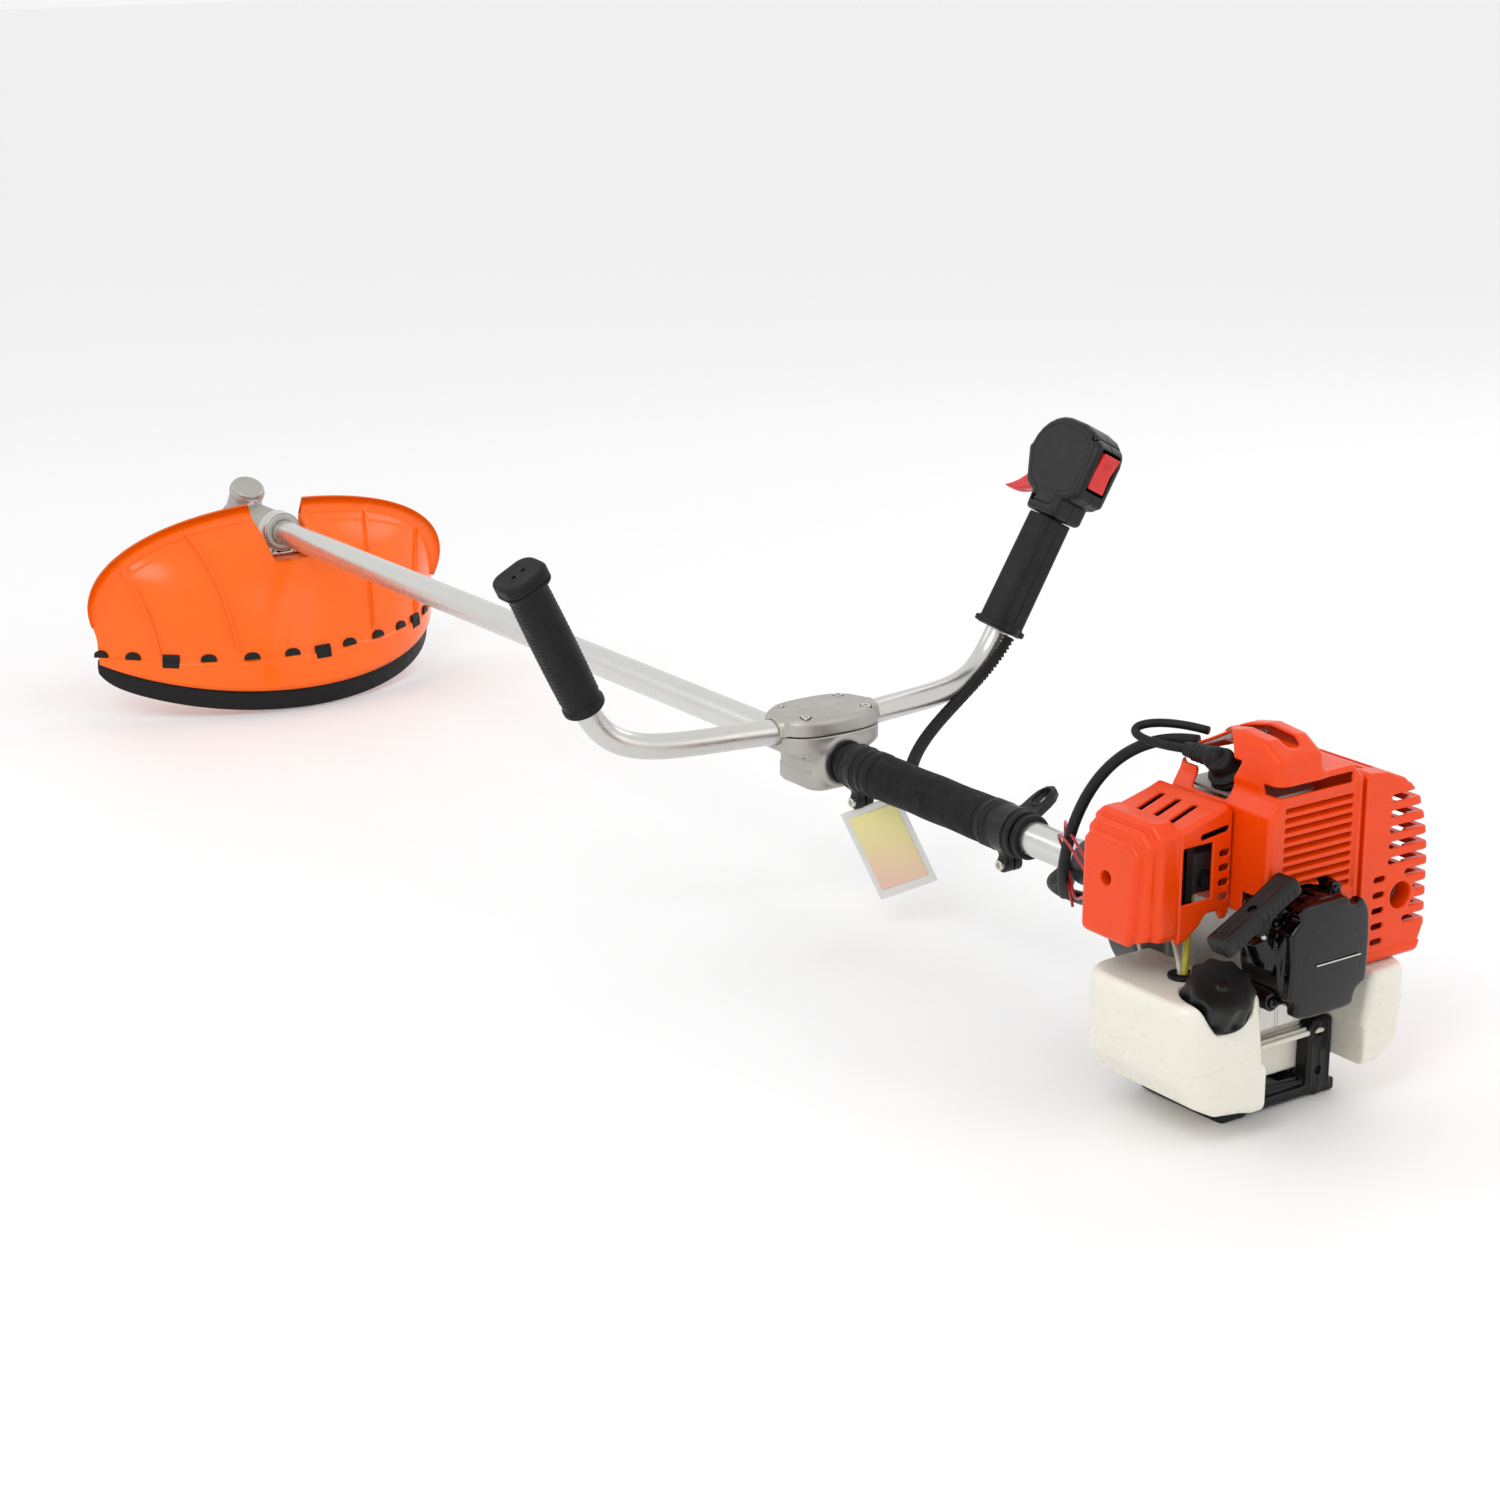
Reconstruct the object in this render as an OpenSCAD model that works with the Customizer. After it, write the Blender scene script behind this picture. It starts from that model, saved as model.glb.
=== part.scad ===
// Petrol brush cutter with a bike handlebar, a straight drive tube and a line head.
// Frame: origin under the engine on the stand's flat bottom, +X back along the tube
// towards the engine, -Y to the machine's left, where the air cleaner is, +Z up.

/* [Drive tube] */
// Length of the drive tube
tube_len = 1500; // [1400:10:1500]
// Outside diameter of the drive tube
tube_d = 28; // [28:28]
// Wall of the drive tube
tube_wall = 1.5; // [1.2:0.1:2]
// Height of the tube axis above the ground plane
tube_z = 130; // [130:130]

/* [Cutting end] */
// Angle of the spindle from straight down, leaning forward
spindle_tilt = 30; // [28:1:32]
// Diameter of the line head
head_d = 116; // [100:2:120]
// Radius of the guard's lower rim about the line head
guard_r = 242; // [235:1:250]
// Half of the angle that the guard covers
guard_half_angle = 64; // [58:1:66]
// Height of the guard's front arch above its rim
guard_rise = 140; // [130:1:145]

/* [Handlebar] */
// Diameter of the handlebar
bar_d = 22; // [20:1:22]
// Sideways lean of each grip from vertical
grip_tilt = 28; // [24:1:32]
// Rearward lean of each grip
grip_lean = 4; // [0:1:6]
// Half of the distance between the grips' lower ends
grip_half_span = 221; // [215:1:230]

/* [Engine] */
// Cylinder bore
bore_d = 44; // [42:1:44]
// Piston stroke
stroke = 32; // [30:1:32]
// Wall of the plastic covers
cover_wall = 2.5; // [2:0.1:3]
// Number of louvres on the back of the top cover
louvres = 10; // [6:1:10]
// Number of cooling fins on the cylinder
fins = 9; // [6:1:9]

/* [Hidden] */

$fn = 48;
cut = 1;
run_gap = 0.03;

tube_r = tube_d / 2;
tube_rear = -90;
tube_front = tube_rear - tube_len;
apex_x = tube_front - 50;

orange = [0.92, 0.3, 0.1];
guard_orange = [1, 0.43, 0.06];
black = [0.15, 0.15, 0.16];
grey_cast = [0.58, 0.56, 0.53];
silver = [0.78, 0.78, 0.77];
steel = [0.6, 0.6, 0.62];
red = [0.84, 0.12, 0.12];
cream = [0.88, 0.86, 0.81];

// ---- shared shapes ----------------------------------------------------------------------

function lerp(a, b, t) = a + (b - a) * t;
function unit(v) = v / norm(v);
function bezier2(a, b, c, t) = lerp(lerp(a, b, t), lerp(b, c, t), t);
function bezier3(a, b, c, d, t) = lerp(bezier2(a, b, c, t), bezier2(b, c, d, t), t);

// Points of a rectangle with rounded corners, centred
function round_rect(w, h, r, n = 5) = [
    for (k = [0:3]) for (i = [0:n])
        let (a = 90 * k + 90 * i / n, sx = (k == 0 || k == 3) ? 1 : -1, sy = k < 2 ? 1 : -1)
            [sx * (w / 2 - r) + r * cos(a), sy * (h / 2 - r) + r * sin(a)]];

// Cylinders along each axis, given by where they start and end
module xcyl(x0, x1, r, y = 0, z = tube_z) {
    translate([x0, y, z]) rotate([0, 90, 0]) cylinder(h = x1 - x0, r = r);
}
module ycyl(y0, y1, r, x = 0, z = tube_z) {
    translate([x, y1, z]) rotate([90, 0, 0]) cylinder(h = y1 - y0, r = r);
}
module zcyl(z0, z1, r, x = 0, y = 0) {
    translate([x, y, z0]) cylinder(h = z1 - z0, r = r);
}
module xring(x0, x1, ro, ri, y = 0, z = tube_z) {
    difference() {
        xcyl(x0, x1, ro, y, z);
        xcyl(x0 - cut, x1 + cut, ri, y, z);
    }
}
// A box given by its lowest and highest corners
module block(a, b) {
    translate(a) cube(b - a);
}
// A flat outline in Y and Z, given length along X
module x_prism(x0, x1, points) {
    translate([x0, 0, 0]) rotate([90, 0, 90]) linear_extrude(x1 - x0) polygon(points);
}
// A flat outline in X and Z, given length along Y
module y_prism(y0, y1, points) {
    translate([0, y1, 0]) rotate([90, 0, 0]) linear_extrude(y1 - y0) polygon(points);
}
// A flat outline in X and Y, given length along Z
module z_prism(z0, z1, points) {
    translate([0, 0, z0]) linear_extrude(z1 - z0) polygon(points);
}
// A skin through a row of closed loops that all have the same number of points
module loft(loops) {
    m = len(loops[0]);
    n = len(loops);
    sides = [for (i = [0:n - 2]) for (j = [0:m - 1])
        let (k = (j + 1) % m) each [
            [i * m + j, (i + 1) * m + j, (i + 1) * m + k],
            [i * m + j, (i + 1) * m + k, i * m + k]]];
    first = [for (j = [0:m - 1]) j];
    last = [for (j = [m - 1:-1:0]) (n - 1) * m + j];
    polyhedron([for (l = loops) each l], concat(sides, [first, last]), convexity = 6);
}
// One round section of radius r at a point of a path
function ring_at(p, dir, r, ref, sides) =
    let (u = unit(cross(dir, ref)), v = cross(unit(dir), u))
        [for (j = [0:sides - 1]) p + r * (u * cos(360 * j / sides) + v * sin(360 * j / sides))];
// A round rod through a row of points
module rod(path, r, ref = [1, 0, 0], sides = 12) {
    n = len(path);
    loft([for (i = [0:n - 1])
        ring_at(path[i], path[min(i + 1, n - 1)] - path[max(i - 1, 0)], r, ref, sides)]);
}
// A round pipe through a row of points
module pipe(path, ro, ri, ref = [1, 0, 0], sides = 20) {
    n = len(path);
    rings = [for (r = [ro, ri]) for (i = [0:n - 1])
        ring_at(path[i], path[min(i + 1, n - 1)] - path[max(i - 1, 0)], r, ref, sides)];
    inner = n * sides;
    skin = [for (i = [0:n - 2]) for (j = [0:sides - 1])
        let (k = (j + 1) % sides, a = i * sides, b = a + sides) each [
            [a + j, b + j, b + k], [a + j, b + k, a + k],
            [inner + a + j, inner + b + k, inner + b + j],
            [inner + a + j, inner + a + k, inner + b + k]]];
    ends = [for (j = [0:sides - 1])
        let (k = (j + 1) % sides, b = (n - 1) * sides) each [
            [j, k, inner + k], [j, inner + k, inner + j],
            [b + j, inner + b + k, b + k], [b + j, inner + b + j, inner + b + k]]];
    polyhedron([for (l = rings) each l], concat(skin, ends), convexity = 6);
}

// ---- cutting end ------------------------------------------------------------------------

// Children are drawn with +Z up the spindle from where its axis meets the tube's axis
module on_spindle() {
    translate([apex_x, 0, tube_z]) rotate([0, spindle_tilt, 0]) children();
}

boss_r = 19;
boss_top = 44;
case_bottom = -30;
spindle_r = 5;
spindle_bottom = -92;
pinion_teeth = 15;
gear_teeth = 19;
pinion_cone = [[22.4, 10.8], [15.3, 7.3]];
gear_cone = [[20.8, 13.5], [14.4, 9.3]];
flange_top = case_bottom - 1;
flange_bottom = flange_top - 16;
head_top = flange_bottom;
head_bottom = head_top - 42;
socket_end = apex_x + 108;
lug_x = socket_end - 42;

module gear_case() {
    color(grey_cast) difference() {
        union() {
            on_spindle() {
                cylinder(h = boss_top - 3, r = boss_r);
                translate([0, 0, boss_top - 4]) cylinder(h = 4, r1 = boss_r + 1.5, r2 = boss_r - 1);
                translate([0, 0, case_bottom]) cylinder(h = -case_bottom, r = boss_r + 3);
                translate([0, 0, case_bottom]) cylinder(h = 8, r = boss_r + 9);
            }
            xcyl(apex_x, socket_end, tube_r + 5);
            xcyl(socket_end - 14, socket_end, tube_r + 7);
            block([lug_x - 14, 0, tube_z - 7], [lug_x + 14, tube_r + 16, tube_z + 7]);
            translate([apex_x + 24, -boss_r + 2, tube_z + 10]) rotate([90, 0, 0])
                cylinder(h = 8, r = 6);
        }
        xcyl(tube_front, socket_end + cut, tube_r + 0.02);
        xcyl(apex_x + 26, tube_front + cut, 13);
        xcyl(apex_x + 8, apex_x + 27, 12.5);
        on_spindle() {
            translate([0, 0, case_bottom - cut]) cylinder(h = 14 + cut, r = 13);
            translate([0, 0, -17]) cylinder(h = 4, r = 8);
            translate([0, 0, -14]) cylinder(h = 36, r = 15.2);
            translate([0, 0, 21]) cylinder(h = 10, r = 11);
        }
        block([lug_x - 16, 0, tube_z - 1], [socket_end + cut, tube_r + 17, tube_z + 1]);
        for (x = [-7, 7])
            zcyl(tube_z - 9, tube_z + 9, 2.6, lug_x + x, tube_r + 10);
    }
}

// A bevel wheel: a toothed cone from its large end to its small end
module bevel(big, small, teeth, bore, depth) {
    difference() {
        translate([0, 0, small[0]])
            cylinder(h = big[0] - small[0], r1 = small[1], r2 = big[1]);
        translate([0, 0, small[0] - cut]) cylinder(h = 40, r = bore);
        for (i = [0:teeth - 1]) rotate(i * 360 / teeth)
            translate([(big[1] + small[1]) / 2, 0, (big[0] + small[0]) / 2])
                rotate([0, atan((big[1] - small[1]) / (big[0] - small[0])), 0])
                    translate([-0.2, -0.8, -8]) cube([depth + 4, 1.6, 16]);
    }
}

module input_pinion() {
    color(steel) {
        translate([apex_x, 0, tube_z]) rotate([0, 90, 0])
            bevel(pinion_cone[0], pinion_cone[1], pinion_teeth, 3, 1);
        xring(apex_x + pinion_cone[0][0], tube_front + 6, 5, 3);
    }
}

module output_gear() {
    color(steel) on_spindle() bevel(gear_cone[0], gear_cone[1], gear_teeth, spindle_r, 1);
}

module spindle() {
    color(silver) on_spindle() {
        translate([0, 0, spindle_bottom]) cylinder(h = 31 - spindle_bottom, r = spindle_r);
        translate([0, 0, -14.8]) cylinder(h = 2, r = 7);
    }
}

module bearing(ro, ri, w) {
    difference() {
        cylinder(h = w, r = ro);
        translate([0, 0, -cut]) cylinder(h = w + 2 * cut, r = ri);
        for (z = [-cut, w - 0.6])
            translate([0, 0, z]) difference() {
                cylinder(h = 0.6 + cut, r = lerp(ri, ro, 0.7));
                translate([0, 0, -cut]) cylinder(h = 4, r = lerp(ri, ro, 0.3));
            }
    }
}

module ball_bearings() {
    color(steel) {
        on_spindle() {
            translate([0, 0, 22]) bearing(11, spindle_r + run_gap, 7);
            translate([0, 0, -26]) bearing(13, spindle_r + run_gap, 8);
        }
        for (x = [apex_x + 29, apex_x + 39])
            translate([x, 0, tube_z]) rotate([0, 90, 0]) bearing(13, 5 + run_gap, 8);
        translate([tube_rear + 0.5, 0, tube_z]) rotate([0, 90, 0])
            bearing(17.5, drum_hub_r + run_gap, 10);
        for (x = [front_bearing, rear_bearing])
            translate([x, 0, tube_z]) rotate([0, 90, 0]) bearing(16, crank_r + run_gap, 12);
    }
}

module blade_flange() {
    color(silver) on_spindle() difference() {
        union() {
            translate([0, 0, flange_bottom]) cylinder(h = 5, r = 40);
            translate([0, 0, flange_bottom + 5]) cylinder(h = 11, r1 = 40, r2 = 24);
        }
        translate([0, 0, flange_bottom - cut]) cylinder(h = 30, r = spindle_r);
    }
}

module trimmer_head() {
    color(black) on_spindle() difference() {
        union() {
            translate([0, 0, head_top - 12]) cylinder(h = 12, r1 = head_d / 2, r2 = head_d / 2 - 12);
            translate([0, 0, head_bottom]) cylinder(h = head_top - 12 - head_bottom, r = head_d / 2);
        }
        translate([0, 0, head_bottom - cut])
            cylinder(h = head_top - 12 - head_bottom + cut, r = head_d / 2 - 4);
        translate([0, 0, head_top - 20]) cylinder(h = 40, r = spindle_r);
        for (a = [90, 270]) rotate(a) translate([head_d / 2 - 8, 0, head_bottom + 16])
            rotate([0, 90, 0]) cylinder(h = 12, r = 3);
    }
}

module line_spool() {
    color([0.22, 0.22, 0.23]) on_spindle() difference() {
        union() {
            for (z = [head_bottom + 4, head_bottom + 24])
                translate([0, 0, z]) cylinder(h = 2.5, r = head_d / 2 - 6);
            translate([0, 0, head_bottom + 4]) cylinder(h = 22, r = 22);
            translate([0, 0, head_bottom - 9]) cylinder(h = 14, r = 27);
            translate([0, 0, head_bottom - 14]) cylinder(h = 6, r1 = 18, r2 = 27);
        }
        translate([0, 0, head_bottom - 7]) cylinder(h = 50, r = spindle_r + 4);
    }
    color(red) on_spindle() difference() {
        translate([0, 0, head_bottom + 6.5]) cylinder(h = 17.5, r = 42);
        translate([0, 0, head_bottom + 6]) cylinder(h = 20, r = 22);
    }
}

rim_tilt = 15;
rim_x = -1695;
rim_z = 28;
guard_wall = 3;
guard_steps = 18;
guard_front_x = -1552;
valley_z = tube_z - 27;
valley_t = 0.054;
lip_h = 11;
bowl_rows = 8;
bowl_focus = [-1650, 0, 0];
// Places across the guard from its left end to its middle valley under the tube
half_steps = [for (i = [0:guard_steps]) lerp(-0.94, -valley_t - 0.006, i / guard_steps)];
guard_ts = concat(half_steps, [-valley_t, 0, valley_t], [for (i = [guard_steps:-1:0]) -half_steps[i]]);

// A point of the guard's lower rim, at t from -1 on the left to 1 on the right
function rim_point(t, r) =
    let (a = guard_half_angle * t)
        [rim_x + r * cos(a) * cos(rim_tilt), r * sin(a), rim_z - r * cos(a) * sin(rim_tilt)];
// A point of the guard's front edge, where the bowl opens towards the line head
function lip_point(t) =
    let (b = 90 * t, c = pow(max(cos(b), 0), 0.55), end = rim_point(1, guard_r))
        [lerp(end[0], guard_front_x, c),
         end[1] * (t < 0 ? -1 : 1) * pow(abs(sin(b)), 0.85),
         abs(t) <= valley_t ? valley_z : end[2] + (guard_rise + 8) * c];
// A point of the bowl between its front edge at s = 0 and its rim at s = 1
function bowl_point(t, s) =
    let (lip = lip_point(t), rim = rim_point(t, guard_r), fall = abs(t) <= valley_t ? 0.03 : 0.2,
         knee = [lerp(lip[0], rim[0], 0.72), lerp(lip[1], rim[1], 0.75), lerp(lip[2], rim[2], fall)])
        bezier2(lip, knee, rim, s);
function inward(p) = p + guard_wall * unit(bowl_focus - p);
function lip_top(t) =
    let (p = lip_point(t), up = unit([0, p[1], p[2] - bowl_focus[2]]))
        p + up * (abs(t) <= valley_t ? 0.5 : lip_h * (1 - pow(abs(t), 6)) + 0.5);

module guard() {
    color(guard_orange) difference() {
        loft([for (t = guard_ts)
            concat(
                [lip_top(t) + [guard_wall, 0, 0]],
                [for (k = [0:bowl_rows]) bowl_point(t, lerp(0.04, 1, k / bowl_rows))],
                [for (k = [bowl_rows:-1:0]) inward(bowl_point(t, k / bowl_rows))],
                [lip_top(t)])]);
        for (y = [-18, 18]) zcyl(valley_z - 20, valley_z + 10, 2.6, bracket_x, y);
    }
}

module guard_skirt() {
    color(black) loft([for (i = [0:2 * guard_steps])
        let (t = lerp(-0.97, 0.97, i / (2 * guard_steps)), drop = [0, 0, -1], fade = 1 - pow(abs(t), 6))
            [rim_point(t, guard_r - 5) + drop * -3,
             rim_point(t, guard_r - 5) + drop * (4 + 20 * fade),
             rim_point(t, guard_r - 8) + drop * (4 + 20 * fade),
             rim_point(t, guard_r - 8) + drop * -3]]);
}

module line_knife() {
    p = rim_point(0, guard_r - 12);
    color(steel) difference() {
        y_prism(-10, 10, [[p[0], p[2] + 22], [p[0] + 2, p[2] + 22], [p[0] + 2, p[2] - 6],
            [p[0] - 12, p[2] - 10], [p[0] - 12, p[2] - 8], [p[0], p[2] - 4]]);
        xcyl(p[0] - 20, p[0] + 8, 2.2, 0, p[2] + 14);
    }
}

bracket_x = socket_end - 10;
bracket_half = 23;
bracket_z = valley_z + 3;

module guard_bracket() {
    color(silver) difference() {
        union() {
            xcyl(bracket_x - 9, bracket_x + 9, tube_r + 8);
            block([bracket_x - 9, -bracket_half, bracket_z - 2],
                [bracket_x + 9, bracket_half, bracket_z + 1]);
            for (y = [-12, 9])
                block([bracket_x - 9, y, bracket_z], [bracket_x + 9, y + 3, tube_z - 10]);
        }
        xcyl(bracket_x - 20, bracket_x + 20, tube_r + 7.02);
        for (y = [-18, 18]) zcyl(bracket_z - 10, bracket_z + 3, 2.6, bracket_x, y);
    }
}

// ---- tube and drive shaft ---------------------------------------------------------------

module drive_tube() {
    color(silver) xring(tube_front, tube_rear, tube_r, tube_r - tube_wall);
}

shaft_r = 4;
drum_hub_r = 7.5;

module drive_shaft() {
    color(steel) {
        xcyl(tube_front + 6, tube_rear + 12, shaft_r);
        xcyl(tube_front - 10, tube_front + 6, 3);
    }
}

module shaft_bushes() {
    color(black) for (i = [0:4])
        xring(tube_front + 180 + i * 280, tube_front + 210 + i * 280,
            tube_r - tube_wall, shaft_r + 0.05);
}

// ---- handlebar and controls -------------------------------------------------------------

bar_r = bar_d / 2;
clamp_x = -500;
bar_z = tube_z + 27;
grip_x = -531;
grip_z = 200;
grip_len = 128;
bar_end = 120;

// Children are drawn with +Z up a grip from its lower end; side is -1 on the left
module on_grip(side) {
    translate([grip_x, side * grip_half_span, grip_z])
        rotate([-side * grip_tilt, 0, 0]) rotate([0, grip_lean, 0]) children();
}
function grip_dir(side) =
    [sin(grip_lean), side * cos(grip_lean) * sin(grip_tilt), cos(grip_lean) * cos(grip_tilt)];
function grip_foot(side) = [grip_x, side * grip_half_span, grip_z];
function bar_half(side) =
    let (a = [clamp_x, side * 52, bar_z], g = grip_foot(side), d = grip_dir(side))
        concat([a], [for (i = [1:9])
            bezier3(a, a + [-8, side * 112, 4], g - d * 62, g, i / 9)],
            [g + d * 10, g + d * bar_end]);
function reversed(list) = [for (i = [len(list) - 1:-1:0]) list[i]];

module handlebar() {
    color(silver) pipe(concat(reversed(bar_half(-1)), bar_half(1)), bar_r, bar_r - 1.5);
}

clamp_plan = [for (i = [0:39])
    let (a = i * 9, c = cos(a), s = sin(a))
        [clamp_x + 33 * sign(c) * pow(abs(c), 0.75), 51 * sign(s) * pow(abs(s), 0.7)]];
clamp_top = bar_z + 15;
clamp_split = bar_z - 2;

module clamp_base() {
    color(grey_cast) difference() {
        union() {
            z_prism(clamp_split - 14, clamp_split, clamp_plan);
            z_prism(tube_z - 25, clamp_split - 13,
                [for (p = round_rect(58, 56, 12)) p + [clamp_x, 0]]);
            z_prism(clamp_split - 22, clamp_split - 14,
                [for (p = round_rect(62, 78, 16)) p + [clamp_x, 0]]);
        }
        xcyl(clamp_x - 40, clamp_x + 40, tube_r + 0.02);
        ycyl(-60, 60, bar_r, clamp_x, bar_z);
        for (x = [-20, 20]) for (y = [-32, 32])
            zcyl(clamp_split - 20, clamp_split + cut, 2.5, clamp_x + x, y);
    }
}

module clamp_cap() {
    color(grey_cast) difference() {
        union() {
            z_prism(clamp_split + 0.8, clamp_top - 3, clamp_plan);
            z_prism(clamp_top - 3, clamp_top,
                [for (p = clamp_plan) [clamp_x, 0] + (p - [clamp_x, 0]) * 0.94]);
        }
        ycyl(-60, 60, bar_r, clamp_x, bar_z);
        for (x = [-20, 20]) for (y = [-32, 32]) {
            zcyl(clamp_split - 2, clamp_top + cut, 2.7, clamp_x + x, y);
            zcyl(clamp_top - 4, clamp_top + cut, 5.2, clamp_x + x, y);
        }
    }
}

module left_grip() {
    color(black) on_grip(-1) difference() {
        union() {
            cylinder(h = 7, r = 18);
            linear_extrude(136) polygon(round_rect(31, 35, 11));
            translate([0, 0, 126]) linear_extrude(16) polygon(round_rect(38, 44, 12));
        }
        translate([0, 0, -cut]) cylinder(h = bar_end + cut + 2, r = bar_r + 0.05);
        for (y = [-5, 5]) translate([0, y, 136]) cylinder(h = 10, r = 1.8);
    }
}

module right_grip() {
    color(black) on_grip(1) difference() {
        union() {
            linear_extrude(6) polygon(round_rect(38, 40, 10));
            linear_extrude(grip_len - 18) polygon(round_rect(33, 33, 7));
        }
        translate([0, 0, -cut]) cylinder(h = grip_len, r = bar_r + 0.05);
        translate([-22, -7, 86]) cube([9, 14, 18]);
    }
}

head_half = 19;
head_wall = 2.2;
trigger_pin = [-24, 158];
rocker_pin = [26, 164];
// Side outline of the switch housing, in the grip's X and Z
switch_outline = concat(
    [[-18, 112], [-20, 126], [-34, 134], [-50, 164]],
    [for (i = [0:6]) let (a = 180 - 15 * i) [-14 + 34 * cos(a), 168 + 33 * sin(a)]],
    [[8, 200], [22, 196], [34, 188], [38, 176], [38, 136], [30, 130], [22, 128], [22, 112]]);
switch_hollow = [[-15, 132], [-30, 138], [-44, 166], [-34, 184], [-14, 195], [16, 194],
    [34, 180], [34, 140], [16, 132]];

module switch_body() {
    difference() {
        rotate([90, 0, 0]) translate([0, 0, -head_half])
            linear_extrude(2 * head_half) polygon(switch_outline);
        rotate([90, 0, 0]) translate([0, 0, -head_half + head_wall])
            linear_extrude(2 * (head_half - head_wall)) polygon(switch_hollow);
        translate([0, 0, 100]) cylinder(h = bar_end - 98, r = bar_r + 0.05);
        translate([0, 0, 118]) cylinder(h = 20, r = 6);
        translate([-60, -8, 126]) cube([36, 16, 38]);
        translate([30, -11.5, 144]) cube([20, 23, 40]);
        for (p = [[28, 190], [-12, 122]]) translate([p[0], -25, p[1]]) rotate([-90, 0, 0]) {
            cylinder(h = 50, r = 1.6);
            cylinder(h = 27 - head_half, r = 3);
        }
    }
}

module switch_pins() {
    for (p = [[trigger_pin, 2.5], [rocker_pin, 2]])
        translate([p[0][0], -head_half + 1, p[0][1]]) rotate([-90, 0, 0])
            cylinder(h = 2 * head_half - 4, r = p[1]);
}

module switch_housing_left() {
    color(black) on_grip(1) {
        difference() {
            switch_body();
            translate([-80, 0, 90]) cube([160, 60, 140]);
        }
        difference() {
            switch_pins();
            translate([-80, head_half - head_wall - 0.5, 90]) cube([160, 60, 140]);
        }
    }
}

module switch_housing_right() {
    color(black) on_grip(1) difference() {
        switch_body();
        translate([-80, -60, 90]) cube([160, 60.02, 140]);
    }
}

module throttle_trigger() {
    color(red) on_grip(1) difference() {
        union() {
            rotate([90, 0, 0]) translate([0, 0, -6]) linear_extrude(12) polygon(concat(
                [[-27, 163], [-21, 163], [-18, 158], [-20, 150], [-28, 143]],
                [for (i = [0:6]) bezier2([-34, 131], [-58, 120], [-73, 124], i / 6)],
                [for (i = [1:6]) bezier2([-73, 124], [-52, 132], [-42, 152], i / 6)]));
            translate([trigger_pin[0], -7, trigger_pin[1]]) rotate([-90, 0, 0])
                cylinder(h = 14, r = 6);
        }
        translate([trigger_pin[0], -10, trigger_pin[1]]) rotate([-90, 0, 0])
            cylinder(h = 20, r = 2.5 + run_gap);
    }
}

module stop_switch() {
    color(red) on_grip(1) difference() {
        union() {
            rotate([90, 0, 0]) translate([0, 0, -10]) linear_extrude(20)
                polygon([[32, 147.5], [39.5, 146.5], [38.5, 164], [42, 181], [34, 180.5], [31, 164]]);
            translate([rocker_pin[0], -10, rocker_pin[1]]) rotate([-90, 0, 0])
                cylinder(h = 20, r = 5);
            translate([rocker_pin[0], -10, rocker_pin[1] - 4]) cube([9, 20, 8]);
        }
        translate([rocker_pin[0], -12, rocker_pin[1]]) rotate([-90, 0, 0])
            cylinder(h = 24, r = 2 + run_gap);
    }
}

module throttle_lock() {
    color(black) on_grip(1) intersection() {
        translate([-22.5, -6, 88]) cube([6, 12, 14]);
        translate([-13, 0, 95]) rotate([90, 0, 0]) cylinder(h = 20, r = 9.5, center = true);
    }
}

conduit_r = 6;
conduit_path = [for (i = [0:14])
    bezier3(grip_foot(1) + [19, -3, -3], [-512, 195, 148], [-492, 128, 116], [-414, 30, 126], i / 14)];

sleeve_path = concat(
    [[-413, 27, 118], [-380, 27, 116], [-250, 28, 114], [-215, 26, 116]],
    [for (i = [0:6]) bezier3([-205, 24, 118], [-190, 20, 98], [-172, 2, 96], [-160, -16, 104], i / 6)],
    [for (i = [1:12]) bezier3([-160, -16, 104], [-120, -60, 150], [-105, -50, 262],
        [-17, -18, 264], i / 12)]);

module cable_conduit() {
    color(black) {
        rod(conduit_path, conduit_r, [1, 0, 0.2], 12);
        rod(sleeve_path, 4.5, [0.1, 0.2, 1], 10);
    }
}

// ---- fittings on the tube ---------------------------------------------------------------

foam_start = -411;
foam_end = -271;

module tube_rings() {
    color(black) {
        xring(clamp_x + 33, clamp_x + 37, 19, tube_r);
        xring(-459, -449, 18, tube_r);
        xring(-435, -424, 19.5, tube_r);
        xring(-423, foam_start, 20, tube_r);
        xring(foam_end, -256, 20, tube_r);
        xring(-234, -226, 19.5, tube_r);
        xring(-225, -217, 18.5, tube_r);
    }
}

module foam_sleeve() {
    color(black) xring(foam_start, foam_end, 19.5, tube_r);
}

band_r = 19.5;
lug_z = tube_z - band_r - 8;

// A split band with its two bolt ears below the tube
module band(x0, x1) {
    difference() {
        union() {
            xcyl(x0, x1, band_r);
            block([x0, -8, lug_z - 7], [x1, 8, tube_z - 12]);
        }
        xcyl(x0 - cut, x1 + cut, tube_r);
        block([x0 - cut, -1, lug_z - 10], [x1 + cut, 1, tube_z]);
        ycyl(-10, 10, 2.6, (x0 + x1) / 2, lug_z - 1);
    }
}

module front_band() {
    color(black) {
        band(-449, -435);
        difference() {
            block([-447, 16, tube_z - 2], [-437, 27, tube_z + 8]);
            xcyl(-450, -430, tube_r);
        }
    }
}

eye_x = -245;
eye_z = tube_z + 38;
eye_lean = 60;

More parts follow.
